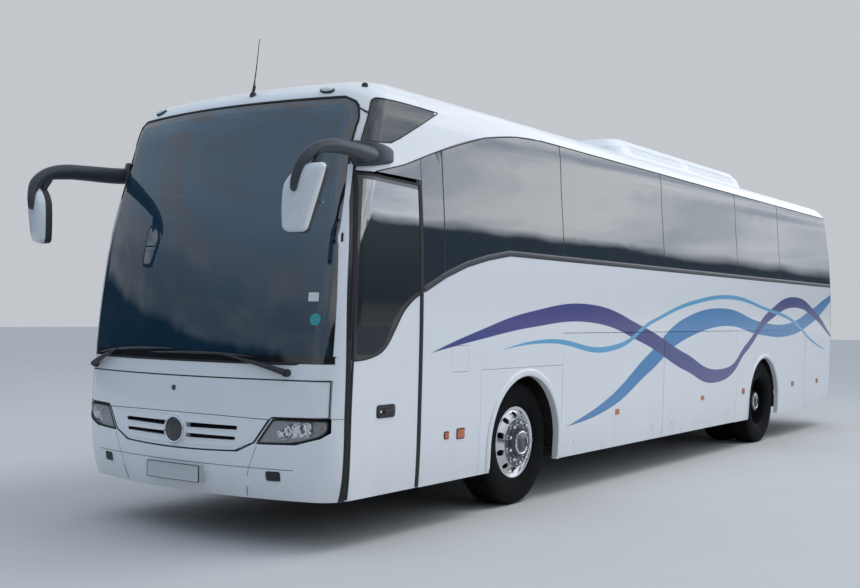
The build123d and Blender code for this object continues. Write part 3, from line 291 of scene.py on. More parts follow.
def make_clear():
    m, t, b = new_mat("clear_cover", IOR=1.5)
    o, x, y, z = coords(t)
    f = grain(t, o, 14.0, 3.0)
    t.links.new(mixc(t, f, rgb(0.020, 0.024, 0.030), rgb(0.030, 0.034, 0.042)), b.inputs["Base Color"])
    t.links.new(span(t, f, 0.2, 0.8, 0.01, 0.05), b.inputs["Roughness"])
    b.inputs["Alpha"].default_value = 0.03
    bump(t, b, grain(t, o, 3.0, 2.0), 0.4, 0.001)
    return m


clear_cover = make_clear()


def make_facets():
    """Bright free-form reflector: flat facets with dark joints."""
    m, t, b = new_mat("lamp_facets", Metallic=0.25, Coat_Weight=1.0, Coat_Roughness=0.03)
    o, x, y, z = coords(t)
    cell = add(t, "ShaderNodeTexVoronoi", {"Vector": o, "Scale": 44.0, "Randomness": 0.85}, feature="F1")
    edge = add(t, "ShaderNodeTexVoronoi", {"Vector": o, "Scale": 44.0, "Randomness": 0.85}, feature="DISTANCE_TO_EDGE").outputs["Distance"]
    tone = ramp(t, cell.outputs["Color"], [(0.0, rgb(0.10, 0.11, 0.12)), (0.30, rgb(0.16, 0.17, 0.18)), (0.36, rgb(0.90, 0.91, 0.92)), (1.0, rgb(0.97, 0.98, 0.99))])
    t.links.new(mixc(t, span(t, edge, 0.01, 0.07), rgb(0.05, 0.055, 0.06), tone), b.inputs["Base Color"])
    t.links.new(span(t, edge, 0.0, 0.3, 0.08, 0.16), b.inputs["Roughness"])
    bump(t, b, cell.outputs["Distance"], 0.4, 0.002)
    return m


lamp_facets = make_facets()
lamp_silver = plain("lamp_silver", rgb(0.30, 0.32, 0.34), rgb(0.40, 0.42, 0.44), 18.0, (0.25, 0.4), 400.0, 0.15, 0.0003, Metallic=0.5)


def make_tail():
    m, t, b = new_mat("tail_lens", IOR=1.5, Coat_Weight=1.0, Coat_Roughness=0.04)
    o, x, y, z = coords(t)
    v = add(t, "ShaderNodeTexVoronoi", {"Vector": o, "Scale": 110.0, "Randomness": 0.0}, feature="F1").outputs["Distance"]
    band = ramp(t, span(t, z, 0.80, 1.56), [(0.0, rgb(0.50, 0.010, 0.008)), (0.245, rgb(0.50, 0.010, 0.008)), (0.25, rgb(0.70, 0.72, 0.74)), (0.40, rgb(0.70, 0.72, 0.74)),
                                          (0.405, rgb(0.85, 0.24, 0.02)), (0.62, rgb(0.85, 0.24, 0.02)), (0.625, rgb(0.50, 0.010, 0.008)), (1.0, rgb(0.50, 0.010, 0.008))])
    t.links.new(mixc(t, op(t, "MULTIPLY", v, 1.3, clamp=True), band, rgb(0.05, 0.01, 0.01)), b.inputs["Base Color"])
    t.links.new(span(t, v, 0.0, 0.6, 0.10, 0.3), b.inputs["Roughness"])
    bump(t, b, v, 0.6, 0.002)
    return m


tail_lens = make_tail()


def make_tyre():
    m, t, b = new_mat("tyre_rubber", Specular_IOR_Level=0.08)
    o, x, y, z = coords(t)
    f = grain(t, o, 18.0, 6.0, 0.65)
    dust = op(t, "MULTIPLY", op(t, "MULTIPLY", f, span(t, z, 0.9, 0.0, 0.25, 1.0)), 0.28)
    t.links.new(mixc(t, dust, rgb(0.005, 0.006, 0.007), rgb(0.030, 0.029, 0.028)), b.inputs["Base Color"])
    t.links.new(span(t, f, 0.3, 0.7, 0.62, 0.85), b.inputs["Roughness"])
    bump(t, b, grain(t, o, 380.0, 3.0), 0.35, 0.0012)
    return m


tyre_mat = make_tyre()


def make_alloy(name, s_axle, dull):
    """Polished disc wheel; the hub inside the nuts is dark painted metal."""
    m, t, b = new_mat(name, Metallic=1.0)
    o, x, y, z = coords(t)
    yy = op(t, "SUBTRACT", y, Y(s_axle))
    zz = op(t, "SUBTRACT", z, 0.522)
    r = op(t, "SQRT", op(t, "ADD", op(t, "MULTIPLY", yy, yy), op(t, "MULTIPLY", zz, zz)))
    rings = add(t, "ShaderNodeTexNoise", {"Vector": add(t, "ShaderNodeCombineXYZ", {0: op(t, "MULTIPLY", r, 900.0), 1: op(t, "MULTIPLY", x, 300.0)}).outputs[0], "Scale": 1.0, "Detail": 3.0}).outputs[0]
    brake = op(t, "MULTIPLY", grain(t, o, 9.0, 5.0), dull)
    bright = mixc(t, brake, rgb(0.82, 0.83, 0.85), rgb(0.16, 0.15, 0.15))
    dark_hub = span(t, r, 0.146, 0.142)
    flange = op(t, "MULTIPLY", span(t, r, 0.206, 0.203), span(t, r, 0.146, 0.150))
    col = mixc(t, op(t, "MULTIPLY", flange, 0.92), bright, rgb(0.13, 0.135, 0.145))
    col = mixc(t, dark_hub, col, rgb(0.15, 0.155, 0.165))
    t.links.new(col, b.inputs["Base Color"])
    hazy = op(t, "MULTIPLY", op(t, "MAXIMUM", flange, dark_hub), 0.22)
    t.links.new(op(t, "ADD", op(t, "ADD", span(t, rings, 0.3, 0.7, 0.10, 0.20), op(t, "MULTIPLY", brake, 0.3)), hazy), b.inputs["Roughness"])
    bump(t, b, rings, 0.10, 0.0002)
    return m


alloy_front = make_alloy("alloy_front", 2.735, 0.25)
alloy_rear = make_alloy("alloy_rear", 8.835, 0.22)


def make_fabric():
    m, t, b = new_mat("seat_moquette", Sheen_Weight=0.35, Sheen_Roughness=0.5)
    o, x, y, z = coords(t)
    w = add(t, "ShaderNodeTexWave", {"Vector": o, "Scale": 95.0, "Distortion": 1.5, "Detail": 2.0}).outputs[1]
    spots = add(t, "ShaderNodeTexVoronoi", {"Vector": o, "Scale": 26.0}, feature="F1").outputs["Distance"]
    c = mixc(t, span(t, spots, 0.30, 0.34), rgb(0.06, 0.13, 0.28), rgb(0.035, 0.045, 0.085))
    c = mixc(t, op(t, "MULTIPLY", w, 0.35), c, rgb(0.09, 0.10, 0.14))
    t.links.new(c, b.inputs["Base Color"])
    t.links.new(span(t, w, 0.0, 1.0, 0.82, 0.97), b.inputs["Roughness"])
    bump(t, b, op(t, "ADD", w, grain(t, o, 700.0, 2.0)), 0.5, 0.0008)
    return m


fabric = make_fabric()
head_cloth = plain("head_cloth", rgb(0.33, 0.33, 0.29), rgb(0.42, 0.42, 0.37), 60.0, (0.8, 0.95), 900.0, 0.6, 0.0008, Sheen_Weight=0.2)


def two_tone(name, mask, base_col, other, rough=0.30):
    """White paint with a black area where mask(t, x, s, z) is 1."""
    m = make_paint(name, livery=base_col)
    t = m.node_tree
    b = t.nodes["Principled BSDF"]
    o, x, y, z = coords(t)
    s = op(t, "ADD", y, S0)
    k = mask(t, x, s, z)
    old = b.inputs["Base Color"].links[0].from_socket
    t.links.new(mixc(t, k, old, other), b.inputs["Base Color"])
    return m


def strip_mask(t, x, s, z):
    """Black strip between the front corner and the entrance."""
    edge = curve(t, op(t, "DIVIDE", z, 3.0), [(0.3 / 3, 0.337), (0.9 / 3, 0.348), (1.63 / 3, 0.365), (2.1 / 3, 0.410), (2.605 / 3, 0.476), (2.7 / 3, 0.485), (1.0, 0.52)])
    k = span(t, op(t, "SUBTRACT", s, edge), -0.001, 0.001)
    k = op(t, "MULTIPLY", k, span(t, z, 2.600, 2.596))
    return op(t, "MULTIPLY", k, span(t, op(t, "ABSOLUTE", x), 0.9, 0.91))


def door_mask(t, x, s, z):
    """Dark frame round the entrance glass, above the white lower skin."""
    low = curve(t, op(t, "DIVIDE", s, 1.5), [(a / 1.5, b / 4.0) for a, b in ((0.0, 1.272), (0.39, 1.274), (0.52, 1.280), (0.60, 1.293), (0.69, 1.318), (0.75, 1.352), (0.80, 1.400), (0.87, 1.49), (0.96, 1.605), (1.07, 1.69), (1.16, 1.735), (1.5, 1.83))])
    k = span(t, op(t, "SUBTRACT", op(t, "DIVIDE", z, 4.0), low), -0.0004, 0.0004)
    rear = span(t, s, 1.164, 1.167)
    return op(t, "MAXIMUM", k, rear)


paint_front = two_tone("front_white", strip_mask, False, rgb(0.016, 0.017, 0.020))
paint_door = two_tone("door_white", door_mask, True, rgb(0.024, 0.026, 0.032))


def cab_mask(t, x, s, z):
    return op(t, "MULTIPLY", door_mask(t, x, s, z), op(t, "MULTIPLY", span(t, s, 1.215, 1.212), span(t, z, 1.20, 1.21)))


paint_right = two_tone("right_white", cab_mask, True, rgb(0.024, 0.026, 0.032))


# ------------------------------------------------------------------
# Carried-over CAD nodes
# ------------------------------------------------------------------
def face_table(o):
    me = o.data
    n = len(me.polygons)
    c, nn = np.empty(n * 3, np.float32), np.empty(n * 3, np.float32)
    me.polygons.foreach_get("center", c)
    me.polygons.foreach_get("normal", nn)
    return c.reshape(-1, 3), nn.reshape(-1, 3)


def outwardness(c, n):
    axis = np.stack([np.zeros(len(c)), np.clip(c[:, 1], -4.3, 4.9), np.clip(c[:, 2], 1.1, 2.2)], 1)
    d = c - axis
    d /= np.linalg.norm(d, axis=1)[:, None] + 1e-9
    return (d * n).sum(1)


def dress(node, *mats, rule=None):
    me = NODES[node].data
    me.materials.clear()
    for m in mats:
        me.materials.append(m)
    c, n = face_table(NODES[node])
    if rule is None:
        idx = np.zeros(len(c), np.int32) if len(mats) == 1 else np.where(outwardness(c, n) > -0.25, 0, 1).astype(np.int32)
    else:
        idx = rule(c, n).astype(np.int32)
    me.polygons.foreach_set("material_index", idx)
    me.update()


def outer_inner(c, n):
    return np.where(outwardness(c, n) > -0.25, 0, 1)


dress("roof_shell", paint_plain, trim)
dress("front_cap", paint_plain, dark_trim)
dress("climate_unit", paint_plain)
dress("left_sidewall", paint, trim)
dress("right_sidewall", paint_right, trim)
for side in ("left", "right"):
    dress(side + "_wheel_panels", paint, steel_dark)
    for end in ("front", "rear"):
        dress("%s_%s_luggage_door" % (side, end), paint, lining)
    dress(side + "_windows", glass_side)
    dress(side + "_mirror", black_plastic)
    dress(side + "_knuckle", cast)
dress("windscreen", glass_screen)
dress("front_panel", paint_front, dark_trim)
dress("front_bumper", paint_front, steel_dark)
dress("front_flap", paint_plain, steel_dark)
dress("grille", paint_plain, steel_dark)
dress("headlamps", clear_cover)
dress("rear_panel", paint, trim)
dress("rear_window", glass_cab)
dress("tail_lamps", tail_lens)
dress("engine_lid", paint_plain, steel_dark)
dress("filler_flap", paint, steel_dark)
dress("front_hatch", paint_plain)
dress("rear_hatch", paint_plain)
dress("entrance_door", paint_door, dark_trim)
dress("entrance_door_glass", glass_door)
dress("door_arms", grey_plastic)
dress("chassis_frame", steel_dark)
dress("front_axle_beam", steel_dark)
dress("rear_axle", cast)
dress("engine_block", cast)
dress("floor_deck", floor_mat, steel_dark, rule=lambda c, n: np.where(n[:, 2] > 0.3, 0, 1))
dress("luggage_bay", lining)
dress("wheel_housings", steel_dark)
dress("luggage_racks", trim)
dress("dashboard", dark_trim)
dress("steering_wheel", leather)
dress("driver_seat", fabric)
dress("passenger_seats", fabric)
dress("wipers", black_plastic)
dress("antenna", black_plastic)
dress("marker_lamps", amber)
dress("number_plates", plate_mat, plate_rear, rule=lambda c, n: np.where(c[:, 1] < 0, 0, 1))
dress("front_flap_arms", steel_dark)
for side in ("left", "right"):
    dress("front_%s_tyre" % side, tyre_mat)
    dress("front_%s_rim" % side, alloy_front)
    dress("rear_%s_tyres" % side, tyre_mat)
    dress("rear_%s_rims" % side, alloy_rear)

# cab quarter panes on the offside follow the door's glass
c, n = face_table(NODES["right_windows"])
NODES["right_windows"].data.materials.append(glass_cab)
NODES["right_windows"].data.polygons.foreach_set("material_index", np.where((c[:, 1] < Y(1.204)) & (c[:, 2] < 2.56), 1, 0).astype(np.int32))
for side in ("left", "right"):
    me = NODES[side + "_windows"].data
    me.materials.append(glass_cab)
    c, n = face_table(NODES[side + "_windows"])
    idx = np.empty(len(c), np.int32)
    me.polygons.foreach_get("material_index", idx)
    quarter = (c[:, 1] < Y(1.47)) & (c[:, 2] > 2.762)
    idx[quarter] = len(me.materials) - 1
    me.polygons.foreach_set("material_index", idx)

# ------------------------------------------------------------------
# The skin as one surface to lay trim on
# ------------------------------------------------------------------
SKIN = ["roof_shell", "front_cap", "left_sidewall", "right_sidewall", "left_wheel_panels", "right_wheel_panels", "left_front_luggage_door",
        "left_rear_luggage_door", "right_front_luggage_door", "right_rear_luggage_door", "windscreen", "left_windows", "right_windows",
        "front_panel", "front_bumper", "front_flap", "grille", "headlamps", "rear_panel", "rear_window", "tail_lamps", "engine_lid",
        "entrance_door", "entrance_door_glass", "filler_flap", "climate_unit"]


def tree_of(names):
    vs, fs = [], []
    for n in names:
        me = NODES[n].data
        k = len(vs)
        vs += [v.co.copy() for v in me.vertices]
        fs += [[k + i for i in p.vertices] for p in me.polygons]
    return BVHTree.FromPolygons(vs, fs)


skin = tree_of(SKIN)


def hit(origin, direction, spread=0.007):
    """First surface met, from the nearest of five close rays, so that a seam doesn't let it through."""
    d = Vector(direction).normalized()
    a = d.orthogonal().normalized()
    b = d.cross(a)
    best = None
    for u, w in ((0, 0), (1, 0), (-1, 0), (0, 1), (0, -1)):
        p, n, i, far = skin.ray_cast(Vector(origin) + a * u * spread + b * w * spread, d)
        if p is not None and (best is None or far < best[0] - 0.002):
            best = (far, n if n.dot(d) < 0 else -n)
    if best is None:
        return None
    return Vector(origin) + d * best[0], best[1]


def side_pt(s, z, sx=1):
    return hit((sx * 2.6, Y(s), z), (-sx, 0, 0))


def front_pt(x, z):
    return hit((x, -9.0, z), (0, 1, 0))


def rear_pt(x, z):
    return hit((x, 9.0, z), (0, -1, 0))


def top_pt(x, s):
    return hit((x, Y(s), 5.0), (0, 0, -1))


def around(z, degrees, centre_s=1.45):
    """Surface point at height z, seen from the middle of the cab at an angle from straight ahead."""
    a = math.radians(degrees)
    d = Vector((math.sin(a), -math.cos(a), 0))
    c = Vector((0, Y(centre_s), z))
    return hit(c + d * 4.0, -d)


# ------------------------------------------------------------------
# Mesh helpers
# ------------------------------------------------------------------
def finish_mesh(name, verts, faces, mats, body, smooth=35.0, index=None, stage=False):
    me = bpy.data.meshes.new(name)
    me.from_pydata([tuple(v) for v in verts], [], faces)
    me.validate()
    if not isinstance(mats, (list, tuple)):
        mats = [mats]
    for m in mats:
        me.materials.append(m)
    if index is not None:
        me.polygons.foreach_set("material_index", np.array(index, np.int32))
    bm = bmesh.new()
    bm.from_mesh(me)
    bmesh.ops.recalc_face_normals(bm, faces=bm.faces)
    bm.to_mesh(me)
    bm.free()
    o = bpy.data.objects.new(name, me)
    bpy.context.scene.collection.objects.link(o)
    if smooth:
        me.polygons.foreach_set("use_smooth", [True] * len(me.polygons))
        me.set_sharp_from_angle(angle=math.radians(smooth))
    if stage:
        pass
    else:
        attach(o, body)
    return o


class Mesh:
    """Vertices and faces gathered for one piece."""

    def __init__(self):
        self.v, self.f, self.m = [], [], []

    def add(self, verts, faces, mat=0):
        k = len(self.v)
        self.v += [Vector(p) for p in verts]
        self.f += [[k + i for i in f] for f in faces]
        self.m += [mat] * len(faces)

    def build(self, name, mats, body, smooth=35.0):
        return finish_mesh(name, self.v, self.f, mats, body, smooth, self.m)


def loft(rings, closed_ring=True, caps=True, loop=False):
    """Faces through rings of equal length."""
    n = len(rings[0])
    verts = [p for r in rings for p in r]
    faces = []
    last = len(rings) if loop else len(rings) - 1
    for i in range(last):
        a, b = i * n, ((i + 1) % len(rings)) * n
        for j in range(n if closed_ring else n - 1):
            k = (j + 1) % n
            faces.append([a + j, a + k, b + k, b + j])
    if caps and not loop and closed_ring:
        faces.append(list(range(n))[::-1])
        faces.append([(len(rings) - 1) * n + j for j in range(n)])
    return verts, faces


def lathe(profile, centre, axis="x", n=96, turn=0.0, shape=None, loop=True):
    """Profile of (axial, radius) about an axis through centre; shape(i, j, a, r) may change a point."""
    rings = []
    for i in range(n):
        t = 2 * math.pi * i / n + turn
        ring = []
        for j, (a, r) in enumerate(profile):
            if shape:
                a, r = shape(i, j, a, r)
            if axis == "x":
                ring.append(Vector((centre[0] + a, centre[1] + r * math.cos(t), centre[2] + r * math.sin(t))))
            elif axis == "y":
                ring.append(Vector((centre[0] + r * math.cos(t), centre[1] + a, centre[2] + r * math.sin(t))))
            else:
                ring.append(Vector((centre[0] + r * math.cos(t), centre[1] + r * math.sin(t), centre[2] + a)))
        rings.append(ring)
    return loft(rings, closed_ring=loop, caps=False, loop=True)


def spline(points, step=0.03, closed=False):
    """Catmull-Rom through the points."""
    P = [Vector(p) for p in points]
    n = len(P)
    out = []
    for i in range(n if closed else n - 1):
        p0 = P[(i - 1) % n] if closed or i else P[0]
        p1, p2 = P[i], P[(i + 1) % n]
        p3 = P[(i + 2) % n] if closed or i < n - 2 else P[-1]
        k = max(1, int((p2 - p1).length / step))
        for j in range(k):
            t = j / k
            out.append(0.5 * ((2 * p1) + (p2 - p0) * t + (2 * p0 - 5 * p1 + 4 * p2 - p3) * t * t + (3 * p1 - p0 - 3 * p2 + p3) * t ** 3))
    if not closed:
        out.append(P[-1].copy())
    return out


def rounded2(points, radius, steps=5, closed=True):
    """2-D outline with its corners eased."""
    P = [Vector((p[0], p[1])) for p in points]
    n = len(P)
    out = []
    for i in range(n):
        r = radius[i] if isinstance(radius, (list, tuple)) else radius
        if (not closed and i in (0, n - 1)) or r <= 0:
            out.append(P[i])
            continue
        a, p, b = P[(i - 1) % n], P[i], P[(i + 1) % n]
        u, w = (a - p), (b - p)
        d = min(r, u.length * 0.49, w.length * 0.49)
        q0, q1 = p + u.normalized() * d, p + w.normalized() * d
        for k in range(steps + 1):
            t = k / steps
            out.append(q0 * (1 - t) ** 2 + p * 2 * t * (1 - t) + q1 * t * t)
    return out


def dense(points, step=0.03, closed=True):
    out = []
    n = len(points)
    for i in range(n if closed else n - 1):
        a, b = points[i], points[(i + 1) % n]
        k = max(1, int(math.ceil((b - a).length / step)))
        out += [a.lerp(b, j / k) for j in range(k)]
    if not closed:
        out.append(points[-1])
    return out


def strip(mesh, hits, width, rise, depth=0.004, closed=False, mat=0, sharp=0.35):
    """A trim strip along surface hits (point, normal), width across, rise above the skin."""
    hits = [h for h in hits if h]
    P = [h[0] for h in hits]
    N = [h[1] for h in hits]
    n = len(P)
    if n < 2:
        return
    prof = ((-0.5, -depth), (-0.5, rise * 0.55), (-sharp, rise), (sharp, rise), (0.5, rise * 0.55), (0.5, -depth))
    rings = []
    for i in range(n):
        a = P[(i - 1) % n] if closed or i else P[0]
        b = P[(i + 1) % n] if closed or i < n - 1 else P[-1]
        t = (b - a)
        if t.length < 1e-7:
            t = Vector((0, 0, 1))
        nn = (N[(i - 1) % n] + N[i] + N[(i + 1) % n]) if closed or 0 < i < n - 1 else N[i]
        nn = nn.normalized()
        side = t.normalized().cross(nn).normalized()
        rings.append([P[i] + side * (w * width) + nn * h for w, h in prof])
    v, f = loft(rings, loop=closed)
    mesh.add(v, f, mat)


def tube(mesh, points, radius, n=14, mat=0, squash=1.0, up=(0, 0, 1), caps=True):
    """A tube along points; radius is a number or one per point. Squash flattens it along up."""
    P = [Vector(p) for p in points]
    R = radius if isinstance(radius, (list, tuple)) else [radius] * len(P)
    rings = []
    prev = None
    for i, p in enumerate(P):
        t = (P[min(i + 1, len(P) - 1)] - P[max(i - 1, 0)]).normalized()
        a = Vector(up) - t * Vector(up).dot(t)
        if a.length < 0.2:
            a = prev - t * prev.dot(t) if prev is not None else t.orthogonal()
        a.normalize()
        if prev is not None and a.dot(prev) < 0:
            a = -a
        prev = a
        b = t.cross(a)
        rings.append([p + a * (math.cos(2 * math.pi * k / n) * R[i] * squash) + b * (math.sin(2 * math.pi * k / n) * R[i]) for k in range(n)])
    v, f = loft(rings, caps=caps)
    mesh.add(v, f, mat)


def radii(points, stops):
    """Radius per point from (share of length, radius) stops."""
    L = [0.0]
    for a, b in zip(points, points[1:]):
        L.append(L[-1] + (b - a).length)
    out = []
    for d in L:
        q = d / L[-1]
        for (a, ra), (b, rb) in zip(stops, stops[1:]):
            if q <= b + 1e-9:
                k = (q - a) / max(b - a, 1e-9)
                k = k * k * (3 - 2 * k)
                out.append(ra + (rb - ra) * k)
                break
    return out


def block(mesh, centre, half, radius=0.01, cuts=(6, 6, 3), crown=0.0, pull=0.0, axes=None, mat=0, warp=None):
    """A rounded, crowned closed form; axes are its three directions, crown lifts the middle of +/- the third."""
    A = axes or (Vector((1, 0, 0)), Vector((0, 1, 0)), Vector((0, 0, 1)))
    h = Vector(half)
    r = min(radius, *half)
    pos, index, faces = [], {}, []

    def point(u):
        key = tuple(round(c, 5) for c in u)
        if key in index:
            return index[key]
        q = Vector((u[0] * h[0], u[1] * h[1], u[2] * h[2]))
        inner = Vector([max(-(h[i] - r), min(h[i] - r, q[i])) for i in range(3)])
        d = q - inner
        if d.length > 1e-9:
            d = d.normalized() * r
        q = inner + d
        swell = (1 - u[0] ** 2) * (1 - u[1] ** 2)
        q[2] += math.copysign(1, u[2]) * crown * swell * abs(u[2])
        q[0] -= math.copysign(1, u[0]) * pull * (1 - u[1] ** 2) * abs(u[0])
        q[1] -= math.copysign(1, u[1]) * pull * (1 - u[0] ** 2) * abs(u[1])
        if warp:
            q = warp(u, q)
        index[key] = len(pos)
        pos.append(Vector(centre) + A[0] * q[0] + A[1] * q[1] + A[2] * q[2])
        return index[key]

    for ax in range(3):
        b, c = (ax + 1) % 3, (ax + 2) % 3
        for sg in (-1, 1):
            for i in range(cuts[b]):
                for j in range(cuts[c]):
                    quad = []
                    for di, dj in ((0, 0), (1, 0), (1, 1), (0, 1)):
                        u = [0, 0, 0]
                        u[ax] = sg
                        u[b] = -1 + 2 * (i + di) / cuts[b]
                        u[c] = -1 + 2 * (j + dj) / cuts[c]
                        quad.append(point(u))
                    faces.append(quad if sg > 0 else quad[::-1])
    mesh.add(pos, faces, mat)


def plate_on(mesh, outline, where, rise, depth=0.006, mat=0, step=0.02, dome=0.0):
    """A plate laid on the skin: outline in the plane that where(u, w) maps to a surface hit."""
    pts = dense([Vector((p[0], p[1])) for p in outline], step)
    rim = [where(p.x, p.y) for p in pts]
    if any(r is None for r in rim):
        return
    mid = Vector((sum(p.x for p in pts) / len(pts), sum(p.y for p in pts) / len(pts)))
    rings = []
    for k, (shrink, h) in enumerate(((1.0, -depth), (1.0, rise * 0.6), (0.97, rise), (0.6, rise + dome * 0.7), (0.25, rise + dome))):
        ring = []
        for p in pts:
            q = mid.lerp(p, shrink)
            w = where(q.x, q.y)
            ring.append(w[0] + w[1] * h)
        rings.append(ring)
    v, f = loft(rings, caps=True)
    mesh.add(v, f, mat)


def both_sides(fn):
    for sx in (1, -1):
        fn(sx)


# ------------------------------------------------------------------
# Wheels
# ------------------------------------------------------------------
HT = 0.1475


def tyre(mesh, cx, s):
    """Drive and steer tyre: four grooves, blocks on the shoulders, rings on the walls."""
    prof, kind = [], []

    def p(a, r, k=""):
        prof.append((a, r))
        kind.append(k)

    wall = [(-0.104, 0.289), (-0.110, 0.300), (-0.118, 0.308), (-0.126, 0.322), (-0.1285, 0.330), (-0.131, 0.3305), (-0.134, 0.338), (-0.141, 0.362), (-0.1445, 0.378),
            (-0.1462, 0.379), (-0.1474, 0.398), (-0.1475, 0.412), (-0.1466, 0.430), (-0.1470, 0.4315), (-0.1465, 0.436), (-0.1445, 0.4375), (-0.1425, 0.455), (-0.1395, 0.472), (-0.1345, 0.488), (-0.1300, 0.4975)]
    for a, r in wall:
        p(a, r, "w")
    p(-0.1235, 0.5085, "b")
    p(-0.1150, 0.5140, "b")
    ribs = [(-0.104, -0.083), (-0.071, -0.034), (-0.022, 0.022), (0.034, 0.071), (0.083, 0.104)]

    def crown(a):
        return 0.5220 - 0.0075 * (a / 0.115) ** 2

    for i, (a, b) in enumerate(ribs):
        k = "b" if i in (0, 4) else "r"
        p(a, crown(a), k)
        p((a + b) / 2, crown((a + b) / 2), k)
        p(b, crown(b), k)
        if i < 4:
            g = ribs[i + 1][0]
            p(b + 0.002, crown(b) - 0.013, "g")
            p(g - 0.002, crown(g) - 0.013, "g")
    p(0.1150, 0.5140, "b")
    p(0.1235, 0.5085, "b")
    for a, r in wall[::-1]:
        p(-a, r, "w")
    p(0.0, 0.2885, "w")
    n = 288

    def shape(i, j, a, r):
        if kind[j] == "b" and i % 6 in (0,):
            r -= 0.009
        if kind[j] == "r" and i % 6 == (3 if a > 0 else 0) and abs(a) > 0.001:
            r -= 0.004
        return a, r

    v, f = lathe(prof, (cx, Y(s), 0.522), "x", n, shape=shape)
    mesh.add(v, f)


def wheel_bits(mesh, cx, s, sx, face, cap_face):
    """Nuts with bright caps, valve and hub cover. sx is the outboard direction."""
    for i in range(10):
        t = 2 * math.pi * (i + 0.5) / 10
        c = Vector((cx + sx * face, Y(s) + 0.1675 * math.cos(t), 0.522 + 0.1675 * math.sin(t)))
        hexa = []
        for a, r, k in ((-0.004, 0.023, 0), (0.004, 0.023, 0), (0.005, 0.0175, 1), (0.020, 0.0170, 1), (0.022, 0.0160, 0), (0.034, 0.0150, 0), (0.040, 0.0110, 0), (0.043, 0.0050, 0)):
            ring = []
            for j in range(18):
                q = 2 * math.pi * j / 18
                rr = r / math.cos(((q + math.pi / 6) % (math.pi / 3)) - math.pi / 6) * 0.93 if k else r
                ring.append(c + Vector((sx * a, rr * math.cos(q), rr * math.sin(q))))
            hexa.append(ring)
        v, f = loft(hexa)
        mesh.add(v, f, 0)
    # hub cover with a bright ring and a dark dished middle
    prof = [(cap_face - 0.03, 0.100), (cap_face - 0.002, 0.100), (cap_face + 0.004, 0.097), (cap_face + 0.006, 0.090), (cap_face + 0.003, 0.084)]
    v, f = lathe([(sx * a, r) for a, r in prof], (cx, Y(s), 0.522), "x", 72, loop=False)
    mesh.add(v, f, 0)
    prof = [(cap_face + 0.001, 0.083), (cap_face + 0.005, 0.070), (cap_face + 0.012, 0.058), (cap_face + 0.020, 0.050), (cap_face + 0.022, 0.040), (cap_face + 0.016, 0.036), (cap_face + 0.016, 0.002)]
    v, f = lathe([(sx * a, r) for a, r in prof], (cx, Y(s), 0.522), "x", 72, loop=False)
    mesh.add(v, f, 1)
    # valve
    a, b = Vector((cx + sx * (face - 0.035), Y(s) + 0.232, 0.522)), Vector((cx + sx * (face + 0.022), Y(s) + 0.222, 0.522))
    tube(mesh, [a, a.lerp(b, 0.5), b], 0.0045, 10)


hub_dark = plain("hub_paint", rgb(0.060, 0.062, 0.068), rgb(0.095, 0.096, 0.10), 24.0, (0.28, 0.45), 300.0, 0.3, 0.0006, Coat_Weight=0.4)
for side, sx in (("left", 1), ("right", -1)):
    m = Mesh()
    tyre(m, sx * 1.030, 2.735)
    o = m.build("tyre_front_" + side, tyre_mat, "front_%s_wheel" % side, smooth=28)
    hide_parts("front_%s_tyre" % side)
    m = Mesh()
    tyre(m, sx * 1.066, 8.835)
    tyre(m, sx * 0.726, 8.835)
    o = m.build("tyres_rear_" + side, tyre_mat, "rear_%s_wheel" % side, smooth=28)
    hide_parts("rear_%s_tyres" % side)
    m = Mesh()
    wheel_bits(m, sx * 1.030, 2.735, sx, 0.144, 0.190)
    m.build("nuts_front_" + side, [chrome, hub_dark], "front_%s_wheel" % side)
    m = Mesh()
    wheel_bits(m, sx * 1.066, 8.835, sx, -0.056, 0.084)
    m.build("nuts_rear_" + side, [chrome, hub_dark], "rear_%s_wheel" % side)


def arch_lip(sx):
    """Rolled edge round each wheel opening."""
    for s, mat in ((2.735, paint), (8.835, paint)):
        m = Mesh()
        pts = []
        R = 0.592
        wide, high = (0.058, 0.011) if s < 4 else (0.040, 0.008)
        for z in np.linspace(0.36, 0.522, 6)[:-1]:
            pts.append((s - R, z))
        for a in np.linspace(math.pi, 0, 48):
            pts.append((s + R * math.cos(a), 0.522 + R * math.sin(a)))
        for z in np.linspace(0.522, 0.36, 6)[1:]:
            pts.append((s + R, z))
        strip(m, [side_pt(a, b, sx) for a, b in pts], wide, high, 0.010, sharp=0.30)
        o = m.build("arch_lip_%s_%s" % ("front" if s < 4 else "rear", "left" if sx > 0 else "right"), paint_plain, "body", smooth=60)


both_sides(arch_lip)

# ------------------------------------------------------------------
# Rubber and trim on the skin
# ------------------------------------------------------------------
def ws_edge(z):
    zs = (1.25, 1.6, 2.1, 2.543, 2.773, 2.93, 3.04, 3.085)
    ss = (0.283, 0.312, 0.372, 0.466, 0.528, 0.585, 0.608, 0.598)
    return float(np.interp(z, zs, ss))


m = Mesh()
loop = []
for a in np.linspace(-52, 52, 90):
    loop.append(around(1.246, a, 0.92))
zs = np.linspace(1.30, 3.06, 60)
loop_r = [side_pt(ws_edge(z), z, 1) for z in zs]
top = [front_pt(x, 3.098) for x in np.linspace(1.02, -1.02, 70)]
loop_l = [side_pt(ws_edge(z), z, -1) for z in zs[::-1]]
low = [h for h in loop if h and abs(h[0].x) < abs(loop_r[0][0].x) + 0.004 and h[0].y < loop_r[0][0].y + 0.004]
strip(m, low + loop_r + top + loop_l, 0.016, 0.0035, 0.006, closed=True)
m.build("screen_gasket", rubber, "body", smooth=50)

